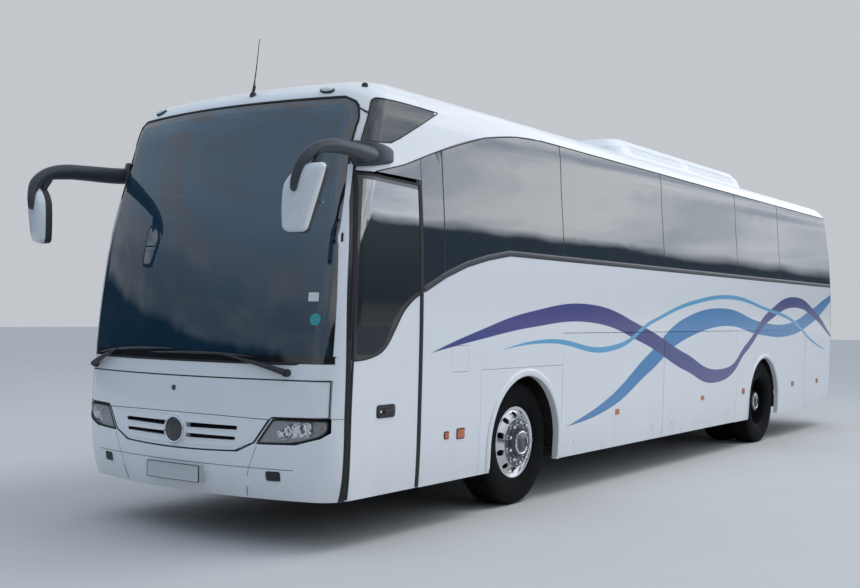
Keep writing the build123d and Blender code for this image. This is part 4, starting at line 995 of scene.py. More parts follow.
# front flap outline, lamp outlines, strip-panel joint
flap_line = [(1.205, 1.137), (1.205, 0.893), (0.819, 0.887), (0.696, 0.714), (0.558, 0.650), (0.30, 0.640), (0.0, 0.636), (-0.30, 0.640), (-0.558, 0.650),
             (-0.696, 0.714), (-0.819, 0.887), (-1.205, 0.893), (-1.205, 1.137)]
m = Mesh()
pts = dense([Vector(p) for p in rounded2(flap_line, [0.01, 0.01, 0.02, 0.03, 0.05, 0.2, 0.3, 0.2, 0.05, 0.03, 0.02, 0.01, 0.01])], 0.03)
strip(m, [front_pt(p.x, p.y) for p in pts], 0.009, 0.0016, 0.004, closed=True)
gline = [(0.800, 0.872), (0.40, 0.881), (0.0, 0.884), (-0.40, 0.881), (-0.800, 0.872)]
strip(m, [front_pt(p.x, p.y) for p in dense([Vector(p) for p in gline], 0.03, closed=False)], 0.0045, 0.0010, 0.004)
gline = [(0.800, 0.872), (0.690, 0.716), (0.556, 0.660)]
for sg in (1, -1):
    strip(m, [front_pt(sg * p.x, p.y) for p in dense([Vector(p) for p in gline], 0.02, closed=False)], 0.0040, 0.0008, 0.004)
m.build("flap_seal", rubber, "front_flap", smooth=50)


def grille_bits():
    m = Mesh()
    # raised lips round the four slots, an inner border line and a plain round boss with a bright ring
    for z0, z1, x_in, x_out in ((0.782, 0.818, 0.095, 0.560), (0.712, 0.744, 0.095, 0.545)):
        for sg in (1, -1):
            out = rounded2([(sg * x_in, z0 - 0.004), (sg * (x_out + 0.004), z0 + 0.003), (sg * (x_out + 0.004), z1 + 0.004), (sg * x_in, z1 + 0.004)], 0.014)
            strip(m, [front_pt(p.x, p.y) for p in dense(out, 0.03)], 0.010, 0.004, 0.004, closed=True, mat=0)
    inner = rounded2([(0.745, 0.862), (0.655, 0.728), (0.545, 0.682), (0.3, 0.672), (0.0, 0.668), (-0.3, 0.672), (-0.545, 0.682), (-0.655, 0.728), (-0.745, 0.862), (-0.4, 0.870), (0.0, 0.873), (0.4, 0.870)], [0.03, 0.05, 0.05, .1, .1, .1, 0.05, 0.05, 0.03, .1, .1, .1])
    strip(m, [front_pt(p.x, p.y) for p in dense(inner, 0.03)], 0.012, 0.0035, 0.003, closed=True, mat=0)
    c, n = front_pt(0.0, 0.762)
    for prof, mt in (([(0.004, 0.112), (-0.008, 0.110), (-0.013, 0.104), (-0.012, 0.098)], 0),
                     ([(-0.006, 0.0975), (-0.018, 0.096), (-0.021, 0.090), (-0.018, 0.084), (-0.010, 0.082)], 1),
                     ([(-0.006, 0.083), (-0.011, 0.075), (-0.015, 0.040), (-0.016, 0.001)], 2)):
        v, f = lathe(prof, (c.x, c.y, c.z), "y", 72, loop=False)
        m.add(v, f, mt)
    m.build("grille_trim", [paint_plain, chrome, frame_grey], "front_flap", smooth=40)
    # dark mesh behind the slots, in near-black painted shadow for the recess behind them
    m = Mesh()
    for sg in (1, -1):
        for i in range(28):
            x = sg * (0.09 + i * 0.0175)
            p = front_pt(x, 0.67)
            p2 = front_pt(x, 0.86)
            if p and p2:
                tube(m, [p[0] + Vector((0, 0.062, 0)), p[0].lerp(p2[0], 0.5) + Vector((0, 0.060, 0)), p2[0] + Vector((0, 0.062, 0))], 0.0035, 6)
        for z in np.linspace(0.69, 0.85, 9):
            pts = [Vector((sg * x, front_pt(sg * x, 0.76)[0].y + 0.066, z)) for x in np.linspace(0.08, 0.58, 12)]
            tube(m, pts, 0.0035, 6)
    m.build("grille_mesh", shade_and_dial_black, "front_flap", smooth=40)


grille_bits()


def headlamp(sx):
    """Clear cover over bright bowls in a faceted housing."""
    m = Mesh()
    lens = Mesh()
    src = NODES["headlamps"].data
    c, n = face_table(NODES["headlamps"])
    out_dir = outwardness(c, n)
    edge_rule = (out_dir > 0.55) & (c[:, 0] * sx > 0)
    used = {}
    vs, fs = [], []
    for i, poly in enumerate(src.polygons):
        if not edge_rule[i]:
            continue
        f = []
        for k in poly.vertices:
            if k not in used:
                used[k] = len(vs)
                vs.append(src.vertices[k].co.copy())
            f.append(used[k])
        fs.append(f)
    lens.add(vs, fs)
    o = lens.build("lamp_cover_" + ("left" if sx > 0 else "right"), clear_cover, "body", smooth=60)
    bm = bmesh.new()
    bm.from_mesh(o.data)
    bmesh.ops.remove_doubles(bm, verts=bm.verts, dist=0.00005)
    bm.to_mesh(o.data)
    bm.free()
    sol = o.modifiers.new("thick", "SOLIDIFY")
    sol.thickness = 0.004
    sol.offset = 0
    outline = rounded2([(0.838, 0.872), (0.724, 0.712), (1.000, 0.722), (1.155, 0.768), (1.198, 0.802), (1.200, 0.874)], [0.02, 0.02, 0.1, 0.06, 0.03, 0.02])
    pts = dense(outline, 0.02)
    mid = Vector((1.02, 0.80))
    rings = []
    for shrink, back in ((1.0, 0.004), (0.985, 0.020), (0.93, 0.040), (0.80, 0.056), (0.45, 0.060), (0.1, 0.060)):
        ring = []
        for p in pts:
            q = mid.lerp(p, shrink)
            h = front_pt(sx * q.x, q.y)
            ring.append(h[0] + Vector((-sx * back * 0.35, back, 0)))
        rings.append(ring)
    v, f = loft(rings)
    m.add(v, f, 0)
    # free-form reflector behind the bowls, in facets
    rings = []
    nx, nz = 17, 7
    for i in range(nz):
        row = []
        for j in range(nx):
            u, w = j / (nx - 1), i / (nz - 1)
            x = 0.826 + (1.100 - 0.826) * u
            zl = float(np.interp(x, (0.84, 1.0, 1.155, 1.2), (0.728, 0.734, 0.780, 0.812)))
            zh = float(np.interp(x, (0.84, 0.88, 1.2), (0.845, 0.862, 0.864)))
            z = zl + (zh - zl) * w
            h = front_pt(sx * x, z)
            wob = math.sin(7.3 * j + 3.1 * i * i) * 0.0075 + math.sin(2.1 * j * j + 5.7 * i) * 0.005
            row.append(h[0] + Vector((0, 0.015 + wob * 0.5, 0)))
        rings.append(row)
    v, f = loft(rings, closed_ring=False, caps=False)
    m.add(v, f, 4)
    for (x, z, r, dy) in ((0.915, 0.797, 0.050, 0.010), (1.030, 0.812, 0.046, 0.010)):
        h = front_pt(sx * x, z)
        y0 = h[0].y + dy
        prof = [(0.0, r + 0.004), (-0.004, r + 0.002), (-0.003, r), (0.016, r * 0.93), (0.034, r * 0.72), (0.046, r * 0.42), (0.050, r * 0.16)]
        flute = lambda i, j, a, rr: (a, rr * (1 + (0.018 if i % 4 < 2 and 2 < j < 6 else 0)))
        v, f = lathe(prof, (sx * x, y0, z), "y", 64, loop=False, shape=flute)
        m.add(v, f, 1)
        v, f = lathe([(0.052, r * 0.20), (0.020, r * 0.19), (0.008, r * 0.16), (0.004, r * 0.06), (0.004, 0.0005)], (sx * x, y0, z), "y", 32, loop=False)
        m.add(v, f, 2)
    # faceted side reflector and the indicator's amber bulb holder
    for k in range(7):
        x = 0.775 + 0.017 * k
        z0, z1 = 0.730 + max(0.0, 0.0), 0.760 + 0.014 * k
        h0, h1 = front_pt(sx * x, z0 + 0.004), front_pt(sx * x, z1)
        tube(m, [h0[0] + Vector((0, 0.034, 0)), h1[0] + Vector((0, 0.036, 0))], 0.0075, 8, mat=1)
    h = front_pt(sx * 1.163, 0.828)
    v, f = lathe([(0.0, 0.024), (0.010, 0.021), (0.020, 0.010)], (sx * 1.163, h[0].y + 0.016, 0.828), "y", 32, loop=False)
    m.add(v, f, 1)
    v, f = lathe([(0.024, 0.009), (0.008, 0.0095), (0.002, 0.006), (0.0, 0.0005)], (sx * 1.163, h[0].y + 0.016, 0.828), "y", 24, loop=False)
    m.add(v, f, 3)
    o2 = m.build("lamp_inside_" + ("left" if sx > 0 else "right"), [lamp_silver, reflector, clear_lens, amber, lamp_facets], "body", smooth=40)
    m = Mesh()
    strip(m, [front_pt(sx * p.x, p.y) for p in pts], 0.010, 0.0020, 0.004, closed=True)
    m.build("lamp_seal_" + ("left" if sx > 0 else "right"), rubber, "body", smooth=50)
    return o


covers = [headlamp(1), headlamp(-1)]
for o in covers:
    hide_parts("headlamps")


def bumper_bits(sx):
    tag = "left" if sx > 0 else "right"
    m = Mesh()
    # seam and crease as thin dark strips of painted shade
    seam = [front_pt(sx * float(np.interp(z, (0.339, 0.52, 0.694), (0.603, 0.640, 0.716))), z) for z in np.linspace(0.345, 0.69, 16)]
    strip(m, seam, 0.0035, 0.0006, 0.003)
    crease = [front_pt(sx * x, 0.5395 + 0.004 * math.cos(x)) for x in np.linspace(0.0, 0.98, 44)]
    strip(m, crease, 0.004, 0.0008, 0.003)
    m.build("bumper_seam_shade_" + tag, seam_shade_mat, "body", smooth=50)
    m = Mesh()
    out = rounded2([(0.777, 0.462), (0.887, 0.464), (0.887, 0.528), (0.777, 0.526)], 0.018)
    plate_on(m, [(sx * p.x, p.y) for p in out], front_pt, 0.002, 0.006, mat=0)
    ring = rounded2([(0.772, 0.457), (0.892, 0.459), (0.892, 0.533), (0.772, 0.531)], 0.022)
    strip(m, [front_pt(sx * p.x, p.y) for p in dense(ring, 0.02)], 0.007, 0.005, 0.004, closed=True, mat=1)
    for k in range(4):
        z = 0.474 + k * 0.0135
        strip(m, [front_pt(sx * x, z) for x in np.linspace(0.790, 0.874, 6)], 0.005, 0.005, 0.002, mat=0)
    if sx > 0:
        # body-coloured cover over the towing hatch
        def bridged(x, z):
            k = (x - 0.572) / (0.668 - 0.572)
            h0, h1 = front_pt(0.572, z), front_pt(0.668, z)
            return h0[0].lerp(h1[0], k), h0[1].lerp(h1[1], k).normalized()

        out = rounded2([(0.586, 0.411), (0.654, 0.411), (0.654, 0.479), (0.586, 0.479)], 0.010)
        plate_on(m, out, bridged, 0.0014, 0.004, mat=1)
    m.build("bumper_cover_" + tag, [black_plastic, paint_plain], "body", smooth=40)


both_sides(bumper_bits)


def plate_frame(name, where, x0, x1, z0, z1, y, facing, mat):
    """Blank plate with a pressed border and two screws."""
    m = Mesh()
    out = dense([Vector(p) for p in rounded2([(x0, z0), (x1, z0), (x1, z1), (x0, z1)], 0.012)], 0.03)
    rings = []
    for shrink, h in ((0.0, -0.004), (0.0, 0.0035), (0.003, 0.005), (0.006, 0.005), (0.008, 0.0035), (0.02, 0.0035), (0.05, 0.0035)):
        cx, cz = (x0 + x1) / 2, (z0 + z1) / 2
        ring = []
        for p in out:
            dx, dz = p.x - cx, p.y - cz
            kx = 1 - shrink / ((x1 - x0) / 2)
            kz = 1 - shrink / ((z1 - z0) / 2)
            ring.append(Vector((cx + dx * kx, y + facing * h, cz + dz * kz)))
        rings.append(ring)
    v, f = loft(rings)
    m.add(v, f, 0)
    rings = []
    for grow, h in ((0.000, -0.003), (0.003, -0.003), (0.0032, 0.001), (0.002, 0.0062), (0.000, 0.0062), (-0.0012, 0.0050)):
        ring = []
        for p in out:
            dx, dz = p.x - (x0 + x1) / 2, p.y - (z0 + z1) / 2
            ring.append(Vector(((x0 + x1) / 2 + dx * (1 + grow / ((x1 - x0) / 2)), y + facing * h, (z0 + z1) / 2 + dz * (1 + grow / ((z1 - z0) / 2)))))
        rings.append(ring)
    v, f = loft(rings, caps=False)
    m.add(v, f, 2)
    for sx in (-1, 1):
        v, f = lathe([(facing * 0.003, 0.009), (facing * 0.006, 0.008), (facing * 0.0075, 0.004), (facing * 0.0075, 0.0005)], (sx * 0.19, y, (z0 + z1) / 2), "y", 20, loop=False)
        m.add(v, f, 1)
    o = m.build(name, [mat, chrome, black_plastic], "body", smooth=40)
    return o


plate_frame("plate_front", None, -0.260, 0.260, 0.414, 0.526, Y(-0.012), -1, plate_mat)
plate_frame("plate_rear", None, -0.260, 0.260, 0.642, 0.753, Y(12.170), 1, plate_rear)


def side_trim(sx):
    tag = "left" if sx > 0 else "right"
    # grey strip along the lower edge of the glass, black line at its top edge, and the pane joints
    m = Mesh()
    low = [(s, float(np.interp(s, [b[0] for b in BELT], [b[1] for b in BELT]))) for s in list(np.linspace(1.215, 2.45, 40)) + list(np.linspace(2.5, 11.82, 130))]
    arc = []
    for s, z in low:
        arc.append(side_pt(s, z + 0.020, sx))
    strip(m, arc, 0.038, 0.0028, 0.006, mat=0)
    arc = [side_pt(s, z - 0.004, sx) for s, z in low]
    strip(m, arc, 0.008, 0.0030, 0.006, mat=1)
    high = [(s, float(np.interp(s, [b[0] for b in TOPS], [b[1] for b in TOPS]))) for s in list(np.linspace(0.66, 3.1, 70)) + list(np.linspace(3.2, 11.83, 120))]
    strip(m, [side_pt(s, z - 0.002, sx) for s, z in high], 0.009, 0.0026, 0.006, mat=1)
    for s in (1.482, 3.360, 5.588, 7.815, 9.440):
        z0 = float(np.interp(s, [b[0] for b in BELT], [b[1] for b in BELT])) + 0.03
        z1 = float(np.interp(s, [b[0] for b in TOPS], [b[1] for b in TOPS])) - 0.004
        strip(m, [side_pt(s, z, sx) for z in np.linspace(z0, z1, 30)], 0.011, 0.0006, 0.005, mat=1)
    m.build("glass_trim_" + tag, [frame_grey, rubber], "body", smooth=50)
    # quarter pane edge
    m = Mesh()
    q = rounded2([(0.573, 2.776), (0.850, 2.786), (1.462, 3.100), (1.040, 3.108), (0.694, 3.096)], [0.014, 0.12, 0.018, 0.3, 0.05])
    strip(m, [side_pt(p.x, p.y, sx) for p in dense(q, 0.03)], 0.008, 0.0020, 0.004, closed=True)
    # black seam at the top of the corner pillar, down beside the screen
    pill = [(0.600, 3.035), (0.6065, 3.014), (0.634, 2.988), (0.646, 2.982)]
    strip(m, [side_pt(a, b, sx) for a, b in pill], 0.012, 0.0022, 0.004)
    m.build("quarter_seal_" + tag, rubber, "body", smooth=50)
    # rear corner post line and panel joints behind the axle, as thin dark strips of painted shade
    m = Mesh()
    for s, z0, z1 in ((10.5715, 0.40, 1.436), (11.8405, 0.50, 3.09)):
        strip(m, [side_pt(s, z, sx) for z in np.linspace(z0, z1, 30)], 0.005, 0.0006, 0.004)
    m.build("panel_joint_shade_" + tag, seam_shade_mat, "body", smooth=50)
    # locks on the luggage doors, each on its own door
    for end, ss in (("front", (3.62, 5.33)), ("rear", (5.86, 7.53))):
        m = Mesh()
        for s in ss:
            c, n = side_pt(s, 0.47, sx)
            v, f = lathe([(0.0, 0.026), (sx * 0.003, 0.026), (sx * 0.0045, 0.023), (sx * 0.0045, 0.016), (sx * 0.002, 0.013), (sx * 0.002, 0.0005)], (c.x, c.y, c.z), "x", 32, loop=False)
            m.add(v, f, 0)
        m.build("locks_%s_%s" % (end, tag), paint_plain, "%s_%s_luggage_door" % (tag, end), smooth=40)


both_sides(side_trim)


def door_trim():
    m = Mesh()
    # seal round the leaf
    edge = []
    front = [(0.384 + 0.001, 0.345), (0.392, 0.90), (0.4045, 1.35), (0.4175, 1.70), (0.447, 2.10), (0.4995, 2.50)]
    fz = np.linspace(0.345, 2.535, 60)
    for z in fz:
        # the bulb of the seal reaches forward over the gap, more so low down
        e = float(np.interp(z, [p[1] for p in front], [p[0] for p in front]))
        h = side_pt(e + 0.008, z)
        to = float(np.interp(z, (0.345, 0.89, 1.35), (0.3905, 0.3905, e + 0.0055)))
        edge.append((h[0] + Vector((0, to - e - 0.008, 0)), h[1]))
    edge += [side_pt(s, 2.546 - (s - 0.515) * 0.0264) for s in np.linspace(0.53, 1.190, 24)]
    edge += [side_pt(1.1935, z) for z in np.linspace(2.522, 0.345, 60)]
    edge = [h for h in edge if h[0].x > 1.1]
    strip(m, edge, 0.018, 0.0022, 0.004)
    # broad rubber edge down the rear of the leaf
    strip(m, [side_pt(1.1755, z) for z in np.linspace(0.345, 2.530, 60)], 0.038, 0.0034, 0.004, sharp=0.44)
    # black line under the glass
    low = ((0.40, 1.270), (0.52, 1.277), (0.60, 1.290), (0.69, 1.315), (0.75, 1.349), (0.80, 1.397), (0.87, 1.487), (0.96, 1.602), (1.07, 1.687), (1.16, 1.732))
    pts = spline([(a, b, 0) for a, b in low], 0.02)
    strip(m, [side_pt(p.x, p.y) for p in pts], 0.010, 0.0026, 0.004)
    m.build("door_seal", rubber, "entrance_door", smooth=50)
    # handle plate with its lever
    m = Mesh()
    out = rounded2([(0.670, 0.868), (0.882, 0.868), (0.882, 0.960), (0.670, 0.960)], 0.026)
    plate_on(m, out, lambda a, b: side_pt(a, b), 0.006, 0.004, dome=0.002)
    c, n = side_pt(0.800, 0.912)
    block(m, (c.x + 0.011, c.y + 0.004, c.z), (0.009, 0.062, 0.014), 0.007, (3, 10, 4), crown=0.0, mat=0)
    v, f = lathe([(0.006, 0.012), (0.012, 0.011), (0.013, 0.005), (0.013, 0.0005)], (c.x, c.y - 0.092, c.z + 0.004), "x", 24, loop=False)
    m.add(v, f, 1)
    m.build("door_handle", [black_plastic, chrome], "entrance_door", smooth=40)
    # grab rail inside the glass
    m = Mesh()
    rail = spline([V(1.140, 1.10, 1.12), V(1.120, 1.10, 1.20), V(1.118, 1.04, 1.55), V(1.112, 1.00, 1.90), V(1.130, 1.00, 1.965)], 0.04)
    tube(m, rail, 0.016, 14)
    m.build("door_rail", chrome, "entrance_door", smooth=60)


door_trim()

# white trim over the screen's outer edges
for sx in (1, -1):
    m = Mesh()
    zs = np.linspace(1.30, 2.60, 50)
    edge_s = lambda z: float(np.interp(z, (1.0, 1.25, 2.1, 2.773), (0.26, 0.283, 0.372, 0.528)))
    mid_off = lambda z: float(np.interp(z, (1.30, 1.9, 2.3, 2.6), (0.000, 0.004, 0.004, -0.002)))
    strip(m, [side_pt(edge_s(z) - mid_off(z), z, sx) or front_pt(sx * 1.2, z) for z in zs], 0.036, 0.0064, 0.004, sharp=0.44)
    m.build("screen_trim_" + ("left" if sx > 0 else "right"), paint_plain, "body", smooth=50)

# broad rubber strip on the body, ahead of the entrance and of the cab window
for sx in (1, -1):
    m = Mesh()
    zs = np.linspace(0.340, 2.585, 70)
    line = lambda z: float(np.interp(z, (0.335, 0.90, 1.30, 1.63, 2.10, 2.35, 2.585), (0.3555, 0.3560, 0.3680, 0.3855, 0.4250, 0.4560, 0.4900)))
    strip(m, [side_pt(line(z) + 0.0035, z, sx) for z in zs if z < 1.42], 0.040, 0.0032, 0.004, sharp=0.45)
    strip(m, [side_pt(line(z) + 0.0145, z, sx) for z in zs if z > 1.36], 0.018, 0.0032, 0.004, sharp=0.42)
    m.build("corner_strip_" + ("left" if sx > 0 else "right"), rubber, "body", smooth=50)


# ------------------------------------------------------------------
# Mirrors
# ------------------------------------------------------------------
def mirror(sx):
    tag = "left" if sx > 0 else "right"
    m = Mesh()
    # arm from the corner cover, over and down in front of the head
    yaw = math.radians(17)

    def turned(x, y, z):
        """A point of the head, turned with it toward the driver."""
        dx, dy = x - 1.345, y - Y(-0.210)
        return Vector((sx * (1.345 + dx * math.cos(yaw) - dy * math.sin(yaw)), Y(-0.210) + dx * math.sin(yaw) + dy * math.cos(yaw), z))

    route = [V(1.165, 0.74, 2.682), V(1.232, 0.62, 2.678), V(1.290, 0.46, 2.671), V(1.336, 0.24, 2.669), V(1.358, 0.06, 2.660), V(1.360, -0.10, 2.622),
             V(1.346, -0.215, 2.535), V(1.324, -0.252, 2.430), V(1.314, -0.264, 2.340)]
    pts = spline(route, 0.022)
    rad = radii(pts, ((0.0, 0.060), (0.25, 0.058), (0.55, 0.054), (0.78, 0.043), (0.93, 0.034), (0.985, 0.026), (1.0, 0.012)))
    if sx > 0:
        rad = [r * float(np.interp(i / len(rad), (0.0, 0.15, 0.4, 1.0), (1.0, 0.92, 0.80, 0.80))) for i, r in enumerate(rad)]
    pts = [Vector((sx * p.x, p.y, p.z)) for p in pts]
    tube(m, pts, rad, 20, squash=1.10)
    # cover on the body corner
    cover = []
    top = ((0.500, 2.588, 2.770), (0.560, 2.595, 2.772), (0.640, 2.606, 2.770), (0.720, 2.620, 2.762), (0.800, 2.636, 2.752), (0.846, 2.650, 2.740))
    for k, (s, z0, z1) in enumerate(top):
        base = side_pt(s, (z0 + z1) / 2, sx)[0]
        out = (0.058, 0.066, 0.064, 0.054, 0.040, 0.022)[k]
        ring = []
        zm, hz = (z0 + z1) / 2, (z1 - z0) / 2
        for j in range(24):
            a = 2 * math.pi * j / 24
            ca, sa = math.cos(a), math.sin(a)
            px = math.copysign(abs(ca) ** 0.45, ca)
            pz = math.copysign(abs(sa) ** 0.45, sa)
            xx = abs(base.x) + (out if px > 0 else 0.020) * px
            ring.append(Vector((sx * xx, Y(s) + (0.006 * px if k == 0 else 0), zm + hz * pz)))
        cover.append(ring)
    v, f = loft(cover)
    m.add(v, f)
    # short post that carries the head behind the arm's bend
    post = spline([V(1.370, -0.075, 2.590), V(1.368, -0.120, 2.520), V(1.360, -0.150, 2.430)], 0.02)
    tube(m, [Vector((sx * p.x, p.y, p.z)) for p in post], radii(post, ((0.0, 0.030), (0.5, 0.028), (1.0, 0.020))), 16)
    o = m.build("mirror_arm_" + tag, arm_grey, "body", smooth=60)
    # white shell: front-view outline, bulged forward
    out = rounded2([(1.222, 2.395), (1.262, 2.452), (1.325, 2.500), (1.385, 2.520), (1.470, 2.522), (1.482, 2.500), (1.462, 2.420), (1.428, 2.310), (1.392, 2.190), (1.368, 2.112), (1.345, 2.092), (1.240, 2.090), (1.214, 2.112), (1.207, 2.200), (1.209, 2.310)],
                   [0.02, 0.03, 0.03, 0.03, 0.02, 0.02, 0.04, 0.05, 0.04, 0.02, 0.02, 0.03, 0.02, 0.05, 0.05], 3)
    pts2 = dense([Vector((1.345 + (p[0] - 1.345) * 1.05, p[1])) for p in out], 0.016)
    mid = Vector((sum(p.x for p in pts2) / len(pts2), sum(p.y for p in pts2) / len(pts2)))
    head = Mesh()
    rings = []
    for shrink, y in ((1.0, -0.150), (1.004, -0.178), (0.995, -0.200), (0.965, -0.217), (0.90, -0.229), (0.76, -0.238), (0.55, -0.243), (0.28, -0.245), (0.02, -0.2455)):
        rings.append([turned(mid.x + (p.x - mid.x) * shrink, Y(y), mid.y + (p.y - mid.y) * shrink) for p in pts2])
    v, f = loft(rings)
    head.add(v, f, 0)
    rings = []
    for shrink, y in ((1.008, -0.178), (1.016, -0.160), (1.014, -0.136), (1.0, -0.128), (0.95, -0.127), (0.93, -0.131), (0.925, -0.140), (0.90, -0.142)):
        rings.append([turned(mid.x + (p.x - mid.x) * shrink, Y(y), mid.y + (p.y - mid.y) * shrink) for p in pts2])
    v, f = loft(rings)
    head.add(v, f, 1)
    o1 = head.build("mirror_head_" + tag, [shell_grey, black_plastic], "body", smooth=50)
    g = Mesh()
    for z0, z1 in ((2.300, 2.560), (2.05, 2.285)):
        # two glasses: main above, wide-angle below
        poly = []
        for p in pts2:
            q = mid.lerp(p, 0.905)
            poly.append(Vector((q.x, min(max(q.y, z0), z1))))
        c = Vector((sum(p.x for p in poly) / len(poly), sum(p.y for p in poly) / len(poly)))
        rings = []
        for shrink, y in ((1.0, -0.140), (0.985, -0.1335), (0.6, -0.1325), (0.05, -0.1315)):
            rings.append([turned(c.x + (p.x - c.x) * shrink, Y(y), c.y + (p.y - c.y) * shrink) for p in poly])
        v, f = loft(rings)
        g.add(v, f)
    og = g.build("mirror_glass_" + tag, mirror_face, "body", smooth=30)
    for piece in (o, o1, og):
        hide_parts(tag + "_mirror")


both_sides(mirror)


# ------------------------------------------------------------------
# Wipers, antenna, lamps on the roof edge
# ------------------------------------------------------------------
def off(h, d):
    return h[0] + h[1] * d


m = Mesh()
for px, pz, ex, ez, blade in ((0.920, 1.186, 0.600, 1.262, ((0.66, 1.285), (0.40, 1.300), (0.05, 1.300), (-0.30, 1.292))),
                              (-1.085, 1.176, -0.800, 1.268, ((-1.00, 1.270), (-0.72, 1.300), (-0.40, 1.318), (-0.05, 1.322)))):
    h = front_pt(px, pz)
    v, f = lathe([(0.01, 0.026), (-0.026, 0.026), (-0.036, 0.021), (-0.040, 0.012), (-0.040, 0.0005)], tuple(h[0]), "y", 32, loop=False)
    m.add(v, f, 0)
    a, b = off(h, 0.030), off(front_pt(ex, ez), 0.040)
    arm = spline([a, a.lerp(b, 0.35) + Vector((0, -0.006, 0.004)), a.lerp(b, 0.7) + Vector((0, -0.006, 0.003)), b], 0.02)
    tube(m, arm, radii(arm, ((0.0, 0.028), (0.25, 0.025), (0.7, 0.018), (1.0, 0.014))), 12, squash=0.8)
    mid_b = front_pt(*blade[1])
    thin = spline([b, b.lerp(off(mid_b, 0.034), 0.5) + Vector((0, -0.004, 0.004)), off(mid_b, 0.030)], 0.02)
    tube(m, thin, 0.009, 8)
    bl = spline([(p[0], p[1], 0) for p in blade], 0.03)
    base = [front_pt(p.x, p.y) for p in bl]
    tube(m, [off(q, 0.021) for q in base], radii([q[0] for q in base], ((0.0, 0.004), (0.1, 0.009), (0.5, 0.012), (0.9, 0.009), (1.0, 0.004))), 8, squash=0.8)
    strip(m, [(off(q, 0.006), q[1]) for q in base], 0.006, 0.012, 0.004)
ow = m.build("wiper_set", black_plastic, "body", smooth=45)
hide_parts("wipers")

m = Mesh()
h = top_pt(0.205, 0.516)
whip = spline([h[0] + Vector((0, 0, 0.015)), h[0] + Vector((0, 0.010, 0.08)), V(0.205, 0.548, 3.40), V(0.205, 0.574, 3.605)], 0.02)
tube(m, whip, radii(whip, ((0.0, 0.0075), (0.2, 0.006), (0.24, 0.0042), (1.0, 0.0026))), 10)
v, f = lathe([(-0.012, 0.026), (0.004, 0.025), (0.016, 0.018), (0.026, 0.010), (0.030, 0.0005)], tuple(h[0]), "z", 32, loop=False)
m.add(v, f)
for k in range(5):
    v, f = lathe([(0.030 + k * 0.008, 0.0105), (0.034 + k * 0.008, 0.0125), (0.038 + k * 0.008, 0.0105)], (h[0].x, h[0].y + 0.004 + k * 0.002, h[0].z), "z", 16, loop=False)
    m.add(v, f)
oa = m.build("roof_whip", black_plastic, "body", smooth=50)
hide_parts("antenna")

m = Mesh()
for sx in (1, -1):
    h = hit((sx * 0.857, Y(0.583), 5.0), (0, 0.0, -1))
    # clearance lamp: dark oval base, clear oval lens
    nn = h[1]
    a = Vector((1, 0, 0)) - nn * nn.x
    a.normalize()
    b = nn.cross(a)
    for prof, mt in ((((0.060, -0.006), (0.060, 0.004), (0.056, 0.007), (0.051, 0.008)), 0), (((0.052, 0.004), (0.046, 0.014), (0.032, 0.019), (0.012, 0.021), (0.001, 0.0212)), 1)):
        rings = []
        for r, hh in prof:
            rings.append([h[0] + a * (r * math.cos(q)) + b * (r * 0.52 * math.sin(q)) + nn * hh for q in [2 * math.pi * k / 36 for k in range(36)]])
        v, f = loft(rings)
        m.add(v, f, mt)
h = top_pt(1.075, 0.734)
if h:
    v, f = lathe([(-0.01, 0.024), (0.006, 0.023), (0.014, 0.018), (0.018, 0.010), (0.019, 0.0005)], tuple(h[0]), "z", 24, loop=False)
    m.add(v, f, 0)
m.build("cap_lamps", [black_plastic, clear_lens], "body", smooth=45)

# side marker lamps, those on the luggage doors carried by the doors
for sx in (1, -1):
    tag = "left" if sx > 0 else "right"
    for body, items in (("body", ((1.537, 0.684, 0.026, 0.022), (1.729, 0.683, 0.048, 0.034), (8.048, 0.696, 0.038, 0.026), (10.021, 0.702, 0.038, 0.026), (11.178, 0.697, 0.038, 0.026))),
                        (tag + "_front_luggage_door", ((4.482, 0.673, 0.038, 0.026),)), (tag + "_rear_luggage_door", ((6.696, 0.688, 0.038, 0.026),))):
        m = Mesh()
        for s, z, hw, hh in items:
            out = rounded2([(s - hw, z - hh), (s + hw, z - hh), (s + hw, z + hh), (s - hw, z + hh)], 0.006)
            plate_on(m, out, lambda a, b: side_pt(a, b, sx), 0.008, 0.004, dome=0.0015)
        o = m.build("marker_lens_%s_%s" % (tag, body.replace(tag + "_", "")), amber, body, smooth=40)
        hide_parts("marker_lamps")

# side marker bezels
for sx in (1, -1):
    m = Mesh()
    for s, z, hw, hh in ((1.537, 0.684, 0.026, 0.022), (1.729, 0.683, 0.048, 0.034), (4.482, 0.673, 0.038, 0.026), (6.696, 0.688, 0.038, 0.026), (8.048, 0.696, 0.038, 0.026), (10.021, 0.702, 0.038, 0.026), (11.178, 0.697, 0.038, 0.026)):
        ring = rounded2([(s - hw - 0.004, z - hh - 0.004), (s + hw + 0.004, z - hh - 0.004), (s + hw + 0.004, z + hh + 0.004), (s - hw - 0.004, z + hh + 0.004)], 0.010)
        if 3.3 < s < 7.8:
            continue
        strip(m, [side_pt(p.x, p.y, sx) for p in dense(ring, 0.02)], 0.006, 0.004, 0.003, closed=True)
    m.build("marker_bezels_" + ("left" if sx > 0 else "right"), rubber, "body", smooth=45)

